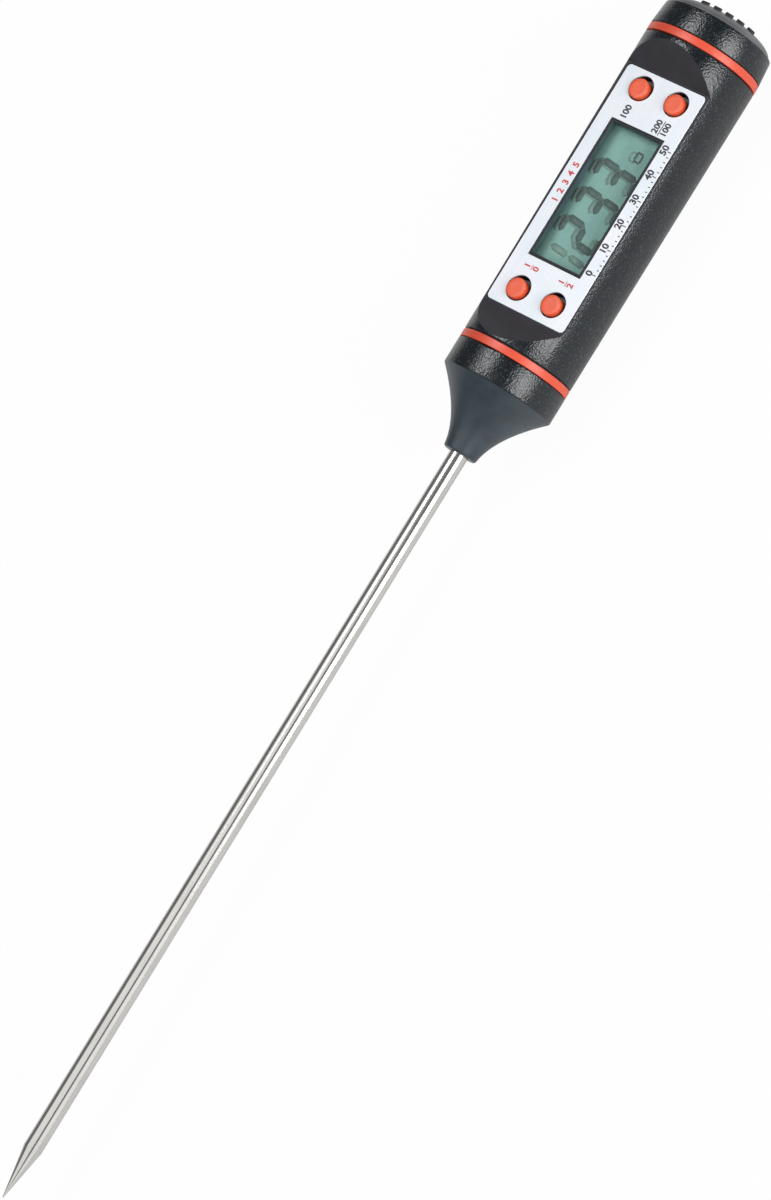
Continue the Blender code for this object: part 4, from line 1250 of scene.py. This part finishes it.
# ---------------------------------------------------------------------------- face
@dataclass
class Face:
    """The label with its marks, the keys, and the display in its opening."""

    film: bpy.types.Material
    black_ink: bpy.types.Material
    red_ink: bpy.types.Material
    key_plastic: bpy.types.Material
    frame_black: bpy.types.Material
    clear: bpy.types.Material
    segment_ink: bpy.types.Material
    ghost_ink: bpy.types.Material
    shadow_ink: bpy.types.Material
    # slate colour that paints shade on the opening's walls and round the keys
    painted_shade_slate: bpy.types.Material
    label_corner: float = 0.8 * MM
    gap: float = 0.15 * MM
    key_radius: float = 1.9 * MM
    hole_radius: float = 2.42 * MM
    hole_shift: Point = (0.26 * MM, -0.11 * MM)
    key_edge: float = 0.22 * MM
    stem_radius: float = 1.2 * MM
    flange: float = 0.5 * MM
    flange_thickness: float = 0.6 * MM
    frame_line: float = 0.45 * MM
    print_height: float = 0.012 * MM
    boldness: float = 0.05
    stroke: float = 1.38 * MM
    digit_centres: tuple[float, ...] = (-5.2 * MM, 0.58 * MM, 6.45 * MM)
    digits: tuple[str, ...] = ("abged", "abgcd", "abgcd")
    digit_pitch: float = 5.8 * MM
    digit_width: float = 3.15 * MM
    digit_top: float = 4.65 * MM
    digit_middle: float = 0.25 * MM
    digit_bottom: float = -3.95 * MM
    slant: float = 0.14
    shadow_shift: Point = (-0.25 * MM, 0.95 * MM)
    degree_place: Point = (9.9 * MM, -1.6 * MM)
    degree_size: float = 1.3 * MM
    scale_start: float = 187.6 * MM

    def __post_init__(self) -> None:
        """Reads the sizes that the frame gives."""
        self.label_x = stations("label_plate")
        self.label_z = heights("label_plate")
        self.view_x = stations("window_frame")
        self.middle = sum(self.view_x) / 2
        self.view_width = 2 * half_size("window_frame", 1)
        self.window_top = heights("display_window")[1]
        self.names = ("power", "unit", "hold", "memory")

    def key_place(self, name: str) -> tuple[float, float, float]:
        """Station, side and height zero of a key's middle."""
        low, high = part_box(f"{name}_button")
        return (low.x + high.x) / 2 - TIP_X, (low.y + high.y) / 2, 0.0

    def openings(self) -> list[bpy.types.Object]:
        """Cutters of the display's opening and the key holes.

        Returns:
            One closed cutter for the opening and one for each key.
        """
        low, high = self.window_top - 2 * MM, self.label_z[1] + 3 * MM
        outline = rounded(
            self.view_x[0] - self.gap, self.view_x[1] + self.gap, self.view_width + 2 * self.gap, 0
        )
        tools = [Bench.prism("window_tool", outline, low, high)]
        for name in self.names:
            profile = [(low, 0.0), (low, self.hole_radius), (high, self.hole_radius), (high, 0.0)]
            x, y, z = self.key_place(name)
            place = (x + self.hole_shift[0], y + self.hole_shift[1], z)
            tools.append(Bench.turned(f"{name}_tool", profile, (), 64, place, True))
        return tools

    def recess(self) -> list[bpy.types.Object]:
        """Cutters of the housing: the label's pocket, the opening and the key holes.

        Returns:
            The closed cutters, the pocket's first.
        """
        width = 2 * (half_size("label_plate", 1) + self.gap)
        outline = rounded(self.label_x[0] - self.gap, self.label_x[1] + self.gap, width, self.label_corner)
        pocket = Bench.prism("pocket_tool", outline, self.label_z[0] - self.gap, self.label_z[1] + 3 * MM)
        return [pocket] + self.openings()

    def build(self) -> None:
        """Makes every piece of the face."""
        outline = rounded(*self.label_x, 2 * half_size("label_plate", 1), self.label_corner)
        plate = Bench.prism("face_label", outline, *self.label_z, [self.film])
        Bench.combine(plate, self.openings())
        Bench.seat(Bench.soften(plate, 0.05 * MM), "handle", "label_silver", "label_plate")
        self.build_keys()
        self.build_opening()
        self.build_digits()
        self.build_marks()

    def build_keys(self) -> None:
        """The four keys, each with its rounded edge, flange and stem."""
        top = heights("power_button")[1]
        low = heights("power_button")[0]
        flange_top = self.window_top
        flange_low = flange_top - self.flange_thickness
        profile = [(low, 0.0), (low, self.stem_radius), (flange_low, self.stem_radius)]
        profile += [(flange_low, self.key_radius + self.flange), (flange_top, self.key_radius + self.flange)]
        profile += [(flange_top, self.key_radius)]
        profile += arc((top - self.key_edge, self.key_radius - self.key_edge), self.key_edge, 90, 8, 5)
        profile += [(top - 0.02 * MM, self.key_radius * 0.55), (top - 0.03 * MM, 0.0)]
        for name in self.names:
            finishes = [self.key_plastic, self.painted_shade_slate]
            key = Bench.turned(f"{name}_key_top", profile, finishes, 96, self.key_place(name), True)
            # the flange and stem take the slate colour: painted shade in the gap round each key
            Bench.paint(key, lambda centre, normal: 0 if centre.z > flange_top + 0.01 * MM else 1)
            Bench.seat(key, f"{name}_key", "key_orange", f"{name}_button")

    def build_opening(self) -> None:
        """The frame that lines the opening and the clear window under it."""
        frame_z = heights("window_frame")
        line = self.frame_line
        outer = rounded(*self.view_x, self.view_width, 0)
        inner = rounded(self.view_x[0] + line, self.view_x[1] - line, self.view_width - 2 * line, 0)
        ring = Bench.prism("opening_frame", outer, *frame_z, [self.frame_black])
        hole = Bench.prism("frame_tool", inner, frame_z[0] - MM, frame_z[1] + MM, [self.frame_black])
        Bench.soften(Bench.combine(ring, [hole]), 0.06 * MM)
        ring.data.materials.clear()
        for finish in (self.frame_black, self.painted_shade_slate):
            ring.data.materials.append(finish)
        # black on the top lip; the inner walls take the slate colour, painted shade for the band in shadow inside the
        # opening
        lip = frame_z[1] - 0.12 * MM
        Bench.paint(ring, lambda centre, normal: 0 if centre.z > lip else 1)
        Bench.seat(ring, "handle", "frame_black", "window_frame")
        ends = stations("display_window")
        pane = Bench.prism(
            "window_pane", rounded(*ends, 2 * half_size("display_window", 1), 0),
            *heights("display_window"), [self.clear]
        )
        Bench.seat(pane, "handle", "window_clear", "display_window")

    def segment(self, letter: str, centre: float) -> list[Point]:
        """Outline of one segment.

        Args:
            letter: a to g, as segments are commonly named.
            centre: station of the digit's middle line.

        Returns:
            The outline, slanted.
        """
        half, edge = self.stroke / 2, 0.06 * MM
        left, right = centre - self.digit_width / 2, centre + self.digit_width / 2
        levels = {"a": self.digit_top, "g": self.digit_middle, "d": self.digit_bottom}
        if letter in levels:
            y = levels[letter]
            low, high = left + edge, right - edge
            points = [(low, y), (low + half, y + half), (high - half, y + half)]
            points += [(high, y), (high - half, y - half), (low + half, y - half)]
        else:
            x = right if letter in "bc" else left
            top = self.digit_top if letter in "bf" else self.digit_middle
            low = self.digit_middle if letter in "bf" else self.digit_bottom
            high, low = top - edge, low + edge
            points = [(x, high), (x + half, high - half), (x + half, low + half)]
            points += [(x, low), (x - half, low + half), (x - half, high - half)]
        return [(self.middle + x + self.slant * y, y) for x, y in points]

    def build_digits(self) -> None:
        """The digits and the faint one before them, on the display's glass."""
        low = heights("lcd_front_glass")[1]
        places = list(zip(self.digit_centres, self.digits))
        ghost = [(self.digit_centres[0] - self.digit_pitch, "bc")]
        layers = (
            ("digit_shadows", places, self.shadow_ink, self.shadow_shift, 1),
            ("faint_digit", ghost, self.ghost_ink, (0.0, 0.0), 1),
            ("digits", places, self.segment_ink, (0.0, 0.0), 2),
        )
        for name, row, ink, shift, layer in layers:
            outlines = []
            for right_x, letters in row:
                outlines += [self.segment(letter, right_x - self.digit_width / 2) for letter in letters]
            if name != "faint_digit":
                outlines += [self.degree_bar(side) for side in range(4)]
            bm = bmesh.new()
            for outline in outlines:
                verts = [bm.verts.new((x + shift[0], y + shift[1], low)) for x, y in outline]
                grown = bmesh.ops.extrude_face_region(bm, geom=[bm.faces.new(verts)])["geom"]
                moved = [item for item in grown if isinstance(item, bmesh.types.BMVert)]
                bmesh.ops.translate(bm, verts=moved, vec=(0, 0, layer * self.print_height))
            Bench.seat(Bench.solid(name, bm, [ink]), "handle", "frame_black")

    def degree_bar(self, side: int) -> list[Point]:
        """Outline of one bar of the small degree mark.

        Args:
            side: 0 to 3, round the mark.

        Returns:
            The outline.
        """
        middle = (self.middle + self.degree_place[0], self.degree_place[1])
        long, half = self.degree_size / 2, 0.19 * MM
        bar = rounded(-long, long, 2 * half, 0)
        bars = {
            0: [(x, y + long) for x, y in bar],
            1: [(x, y - long) for x, y in bar],
            2: [(y + long + half, x) for x, y in bar],
            3: [(y - long - half, x) for x, y in bar],
        }
        return [(middle[0] + x + self.slant * y, middle[1] + y) for x, y in bars[side]]

    def number(self, text: str, place: Point, size: float, ink: bpy.types.Material) -> bpy.types.Object:
        """A small plain number on the label.

        Args:
            text: its digits.
            place: station and side of its middle.
            size: its height.
            ink: its material.

        Returns:
            The object.
        """
        curve = bpy.data.curves.new(f"number_{text}", "FONT")
        curve.body = text
        curve.size = size / 0.7
        curve.align_x = "CENTER"
        curve.align_y = "CENTER"
        curve.extrude = self.print_height / 2
        curve.resolution_u = 3
        curve.offset = self.boldness * size
        holder = bpy.data.objects.new(f"number_{text}", curve)
        bpy.context.scene.collection.objects.link(holder)
        graph = bpy.context.evaluated_depsgraph_get()
        mesh = bpy.data.meshes.new_from_object(holder.evaluated_get(graph), depsgraph=graph)
        bpy.data.objects.remove(holder, do_unlink=True)
        height = AXIS_Z + self.label_z[1] + self.print_height / 2
        mesh.transform(Matrix.Translation((TIP_X + place[0], place[1], height)))
        mesh.materials.clear()
        mesh.materials.append(ink)
        obj = bpy.data.objects.new(f"number_{text}", mesh)
        bpy.context.scene.collection.objects.link(obj)
        return obj

    def ticks(self, name: str, start: float, side: float, count: int, pitch: float, ink: bpy.types.Material) -> None:
        """A row of graduation marks, each fifth one longer.

        Args:
            name: the object's name.
            start: station of the first mark.
            side: where the marks start across the label.
            count: number of marks.
            pitch: distance between them.
            ink: their material.
        """
        row = Repeater(name)
        total = row.named("Count", count, "NodeSocketInt")
        spacing = row.named("Pitch", pitch)
        length = row.named("Length", 0.42 * MM)
        thickness = row.named("Thickness", 0.17 * MM)
        material = row.named("Material", ink, "NodeSocketMaterial")
        stride = row.add("ShaderNodeCombineXYZ", {}, {"X": spacing}).outputs[0]
        line = row.add("GeometryNodeMeshLine", {}, {"Count": total, "Offset": stride}).outputs[0]
        size = row.add("ShaderNodeCombineXYZ", {}, {"X": thickness, "Y": length, "Z": self.print_height}).outputs[0]
        bar = row.add("GeometryNodeMeshCube", {}, {"Size": size}).outputs[0]
        shift = row.add("ShaderNodeCombineXYZ", {}, {"Y": row.math("MULTIPLY", length, 0.5)}).outputs[0]
        bar = row.add("GeometryNodeTransform", {}, {"Geometry": bar, "Translation": shift}).outputs[0]
        index = row.add("GeometryNodeInputIndex", {}, {}).outputs[0]
        fifth = row.math("COMPARE", row.math("MODULO", index, 5.0), 0.0, 0.1)
        stretch = row.math("MULTIPLY_ADD", fifth, 0.9, 1.0)
        scale = row.add("ShaderNodeCombineXYZ", {}, {"X": 1.0, "Y": stretch, "Z": 1.0}).outputs[0]
        laid = row.add("GeometryNodeInstanceOnPoints", {}, {"Points": line, "Instance": bar, "Scale": scale})
        real = row.add("GeometryNodeRealizeInstances", {}, {0: laid.outputs[0]}).outputs[0]
        obj = row.finish(real, material)
        height = AXIS_Z + self.label_z[1] + self.print_height / 2
        obj.data.transform(Matrix.Translation((TIP_X + start, side, height)))
        Bench.seat(obj, "handle", "frame_black")

    def build_marks(self) -> None:
        """Generic print: one graduation with its numbers, a plain row, and the keys' numbers and rules."""
        self.ticks("range_marks", self.scale_start, -8.45 * MM, 26, 1.0 * MM, self.black_ink)
        line = 0.95 * MM
        parts = [(str(10 * k), (self.scale_start + 5 * MM * k, -7.0 * MM), 1.3 * MM, self.black_ink) for k in range(6)]
        parts += [(str(k + 1), (196.6 * MM + 1.78 * MM * k, 7.0 * MM), 1.25 * MM, self.red_ink) for k in range(5)]
        parts += [("100", (215.9 * MM, 3.95 * MM), 1.25 * MM, self.black_ink)]
        for top, low, place, ink in (
            ("200", "100", (215.85 * MM, -4.1 * MM), self.black_ink),
            ("1", "0", (184.1 * MM, 3.7 * MM), self.red_ink),
            ("1", "2", (184.1 * MM, -4.1 * MM), self.red_ink),
        ):
            parts += [(top, (place[0], place[1] + line), 1.2 * MM, ink)]
            parts += [(low, (place[0], place[1] - line), 1.2 * MM, ink)]
            bar = rounded(-len(top) * line / 2, len(top) * line / 2, 0.16 * MM, 0)
            height = self.label_z[1]
            outline = [(place[0] + x, place[1] + y) for x, y in bar]
            rule = Bench.prism(f"rule_{top}_{low}", outline, height, height + self.print_height, [ink])
            Bench.seat(rule, "handle", "frame_black")
        for text, place, size, ink in parts:
            Bench.seat(self.number(text, place, size, ink), "handle", "frame_black")


# ---------------------------------------------------------------------------- inner pieces
@dataclass
class Inside:
    """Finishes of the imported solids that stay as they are."""

    finishes: dict[str, tuple[str, ...]]
    looks: dict[str, bpy.types.Material]

    def build(self) -> None:
        """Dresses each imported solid."""
        for look, nodes in self.finishes.items():
            for node in nodes:
                mesh = bpy.data.objects[node].data
                mesh.materials.clear()
                mesh.materials.append(self.looks[look])
            LOG.info("%s on %s", look, ", ".join(nodes))


# ---------------------------------------------------------------------------- stage
@dataclass
class Lamp:
    """One soft rectangular lamp, aimed at the handle unless told otherwise."""

    name: str
    place: tuple[float, float, float]
    size: Point
    power: float
    color: Color = (1.0, 1.0, 1.0)
    target: tuple[float, float, float] = (0.06, 0.0, 0.011)

    def build(self) -> bpy.types.Object:
        """Makes the lamp.

        Returns:
            The lamp's object.
        """
        data = bpy.data.lights.new(self.name, "AREA")
        data.shape = "RECTANGLE"
        data.size, data.size_y = self.size
        data.energy = self.power
        data.color = self.color
        lamp = bpy.data.objects.new(self.name, data)
        lamp.location = self.place
        aim = Vector(self.target) - Vector(self.place)
        lamp.rotation_mode = "QUATERNION"
        lamp.rotation_quaternion = aim.to_track_quat("-Z", "Y")
        bpy.context.scene.collection.objects.link(lamp)
        return lamp


@dataclass
class Stage:
    """Pale floor, soft light and the photo's camera."""

    lamps: Sequence[Lamp]
    sky: float = 0.10
    mirrored_sky: float = 0.10
    seen_floor: float = 0.96
    mirrored_floor: float = 0.22
    floor_mottle: Color = (0.82, 0.82, 0.82)
    floor_size: float = 6.0
    floor_color: Color = (0.80, 0.80, 0.80)
    camera_place: tuple[float, float, float] = (-0.046303, -0.430394, 0.673257)
    right: tuple[float, float, float] = (0.52220, -0.73320, -0.43558)
    down: tuple[float, float, float] = (-0.85066, -0.41142, -0.32730)
    forward: tuple[float, float, float] = (0.06077, 0.54144, -0.83854)
    lens: float = 137.26
    sensor: float = 36.0

    def build(self) -> None:
        """Makes the floor, the world, the lamps and the camera."""
        self.build_floor()
        self.build_world()
        for lamp in self.lamps:
            lamp.build()
        data = bpy.data.cameras.new("camera")
        data.sensor_fit = "AUTO"
        data.sensor_width = self.sensor
        data.lens = self.lens
        data.clip_start = 0.01
        data.clip_end = 20
        camera = bpy.data.objects.new("camera", data)
        columns = [Vector(self.right), -Vector(self.down), -Vector(self.forward)]
        turn = Matrix(columns).transposed().to_quaternion().to_matrix().to_4x4()
        camera.matrix_world = Matrix.Translation(self.camera_place) @ turn
        bpy.context.scene.collection.objects.link(camera)
        bpy.context.scene.camera = camera
        bpy.context.scene.view_settings.view_transform = "Standard"

    def build_floor(self) -> None:
        """The floor, white to the camera except where the object shades it."""
        half = self.floor_size / 2
        mesh = bpy.data.meshes.new("floor")
        mesh.from_pydata([(-half, -half, 0), (half, -half, 0), (half, half, 0), (-half, half, 0)], [], [(0, 1, 2, 3)])
        nodes = Nodes("pale_floor")
        cloud = nodes.noise(0.4, 2.0)
        tone = nodes.mix(cloud, self.floor_color, self.floor_mottle)
        plain = nodes.add("ShaderNodeBsdfDiffuse", {}, {"Color": tone})
        bright = nodes.add("ShaderNodeEmission", {}, {"Color": (1, 1, 1, 1), "Strength": 1.0})
        path = nodes.add("ShaderNodeLightPath", {})
        mirrored = Value(nodes, path.outputs["Is Glossy Ray"]).math("MAXIMUM", path.outputs["Is Transmission Ray"])
        seen = Value(nodes, path.outputs["Is Camera Ray"]) * self.seen_floor + mirrored * self.mirrored_floor
        blend = nodes.add("ShaderNodeMixShader", {}, {0: seen, 1: plain.outputs[0], 2: bright.outputs[0]})
        nodes.feed(nodes.output.inputs["Surface"], blend.outputs[0])
        mesh.materials.append(nodes.material)
        floor = bpy.data.objects.new("floor", mesh)
        bpy.context.scene.collection.objects.link(floor)

    def build_world(self) -> None:
        """Even soft light; white to the camera."""
        world = bpy.data.worlds.new("world")
        world.use_nodes = True
        tree = world.node_tree
        tree.nodes.clear()
        out = tree.nodes.new("ShaderNodeOutputWorld")
        soft = tree.nodes.new("ShaderNodeBackground")
        soft.inputs[0].default_value = (1, 1, 1, 1)
        soft.inputs[1].default_value = self.sky
        white = tree.nodes.new("ShaderNodeBackground")
        white.inputs[0].default_value = (1, 1, 1, 1)
        path = tree.nodes.new("ShaderNodeLightPath")
        mirrored = tree.nodes.new("ShaderNodeMath")
        mirrored.operation = "MAXIMUM"
        tree.links.new(path.outputs["Is Glossy Ray"], mirrored.inputs[0])
        tree.links.new(path.outputs["Is Transmission Ray"], mirrored.inputs[1])
        share = tree.nodes.new("ShaderNodeMath")
        share.operation = "MULTIPLY_ADD"
        share.use_clamp = True
        share.inputs[1].default_value = self.mirrored_sky
        tree.links.new(mirrored.outputs[0], share.inputs[0])
        tree.links.new(path.outputs["Is Camera Ray"], share.inputs[2])
        mix = tree.nodes.new("ShaderNodeMixShader")
        tree.links.new(share.outputs[0], mix.inputs[0])
        tree.links.new(soft.outputs[0], mix.inputs[1])
        tree.links.new(white.outputs[0], mix.inputs[2])
        tree.links.new(mix.outputs[0], out.inputs[0])
        bpy.context.scene.world = world


# ---------------------------------------------------------------------------- whole
def palette() -> dict[str, bpy.types.Material]:
    """Builds every finish.

    Returns:
        The materials by a short name.
    """
    black = (0.030, 0.034, 0.041)
    finishes = {
        "texture": SparkTexture(),
        "panel": SatinPlastic("recess_plastic", (0.024, 0.024, 0.030), 0.62),
        "nose": SatinPlastic("nose_plastic", (0.030, 0.044, 0.055), 0.36),
        # satin grey dome; its paleness is partly a painted sheen
        "cap_dome_sheen": SatinPlastic("cap_dome_painted_sheen_plastic", (0.115, 0.118, 0.122), 0.38),
        "rib": SatinPlastic("rib_plastic", (0.010, 0.011, 0.013), 0.45),
        "ring": MoldedColor("ring_plastic", (0.74, 0.088, 0.040), (0.70, 0.085, 0.045)),
        "key": MoldedColor("key_plastic", (0.84, 0.105, 0.032), (0.80, 0.12, 0.06)),
        "film": LabelFilm(),
        "black_ink": Ink("black_print", (0.020, 0.020, 0.024), (0.060, 0.060, 0.065)),
        "red_ink": Ink("red_print", (0.62, 0.045, 0.050), (0.70, 0.10, 0.10)),
        "segments": Ink("display_segments", (0.018, 0.074, 0.064), (0.048, 0.130, 0.106)),
        "ghost": Ink("idle_segments", (0.165, 0.320, 0.270), (0.190, 0.350, 0.290)),
        "shadow": Ink("segment_shadow", (0.160, 0.310, 0.262), (0.185, 0.345, 0.285)),
        # painted shade: a slate colour for the opening's inner walls and the keys' flanges, standing for the shade
        # that falls there
        "wall": SatinPlastic("painted_shade_slate_plastic", (0.050, 0.090, 0.098), 0.55),
        "frame": SatinPlastic("frame_plastic", (0.006, 0.008, 0.010), 0.60),
        "window": ClearWindow(),
        "lcd": DisplayGlass(),
        "steel": Metal("polished_steel", (0.66, 0.65, 0.63), (0.58, 0.57, 0.55), 0.12, Grain.ROUND),
        "brass": Metal("brass", (0.80, 0.58, 0.25), (0.66, 0.44, 0.18), 0.22, Grain.EVEN),
        "plated": Metal("plated_steel", (0.72, 0.71, 0.69), (0.60, 0.59, 0.57), 0.18, Grain.EVEN),
        "foil": Metal("reflector_foil", (0.82, 0.82, 0.80), (0.74, 0.74, 0.72), 0.25, Grain.ALONG),
        "board": BoardResist(),
        "black": SatinPlastic("black_plastic", black, 0.40),
        "white": SatinPlastic("white_plastic", (0.74, 0.73, 0.69), 0.42, 0.05),
        "tan": SatinPlastic("ceramic_tan", (0.48, 0.33, 0.19), 0.50, 0.08),
        "bead": SatinPlastic("bead_glass", (0.30, 0.09, 0.03), 0.12, 0.10),
        "jacket": SatinPlastic("lead_jacket", (0.24, 0.02, 0.02), 0.45, 0.10),
        "rubber": SatinPlastic("seal_rubber", (0.018, 0.018, 0.020), 0.62, 0.10),
        "elastomer": SatinPlastic("strip_elastomer", (0.16, 0.16, 0.17), 0.60, 0.15),
    }
    return {name: finish.build() for name, finish in finishes.items()}


def main() -> None:
    """Builds the whole picture."""
    logging.basicConfig(level=logging.INFO, format="%(message)s")
    looks = palette()
    face = Face(
        looks["film"], looks["black_ink"], looks["red_ink"], looks["key"], looks["frame"], looks["window"],
        looks["segments"], looks["ghost"], looks["shadow"], looks["wall"],
    )
    handle = Handle(looks["texture"], looks["panel"], looks["nose"], looks["ring"])
    handle.build_housing(face.recess)
    handle.build_nose()
    handle.build_rings()
    face.build()
    Probe(looks["steel"]).build()
    Cap(looks["texture"], looks["cap_dome_sheen"], looks["rib"]).build()
    Inside({
        "lcd": ("lcd_front_glass", "lcd_rear_glass"),
        "foil": ("lcd_reflector",),
        "elastomer": ("contact_strip_left", "contact_strip_right"),
        "white": ("lcd_holder",) + tuple(f"{name}_plunger" for name in face.names),
        "black": ("processor_blob", "cell_holder") + tuple(f"{name}_switch" for name in face.names),
        "board": ("circuit_board",),
        "plated": ("holder_screw_front", "holder_screw_rear", "crystal_can", "button_cell"),
        "tan": ("capacitor",),
        "brass": ("negative_contact", "positive_contact", "probe_bushing"),
        "rubber": ("cap_seal",),
        "bead": ("thermistor_bead",),
        "jacket": ("sensor_lead_left", "sensor_lead_right"),
    }, looks).build()
    Stage([
        Lamp("key_lamp", (0.20, 0.20, 0.73), (0.36, 0.28), 2.3),
        Lamp("side_lamp", (0.20, -0.685, 0.305), (0.40, 0.44), 3.9),
        Lamp("probe_box", (-0.42, 0.13, 0.70), (1.0, 0.90), 2.4, target=(-0.43, 0.0, 0.0)),
        Lamp("probe_card", (-0.42, -0.60, 0.29), (1.0, 0.56), 1.6, target=(-0.43, 0.0, 0.0)),
    ]).build()


if __name__ == "__main__":
    main()
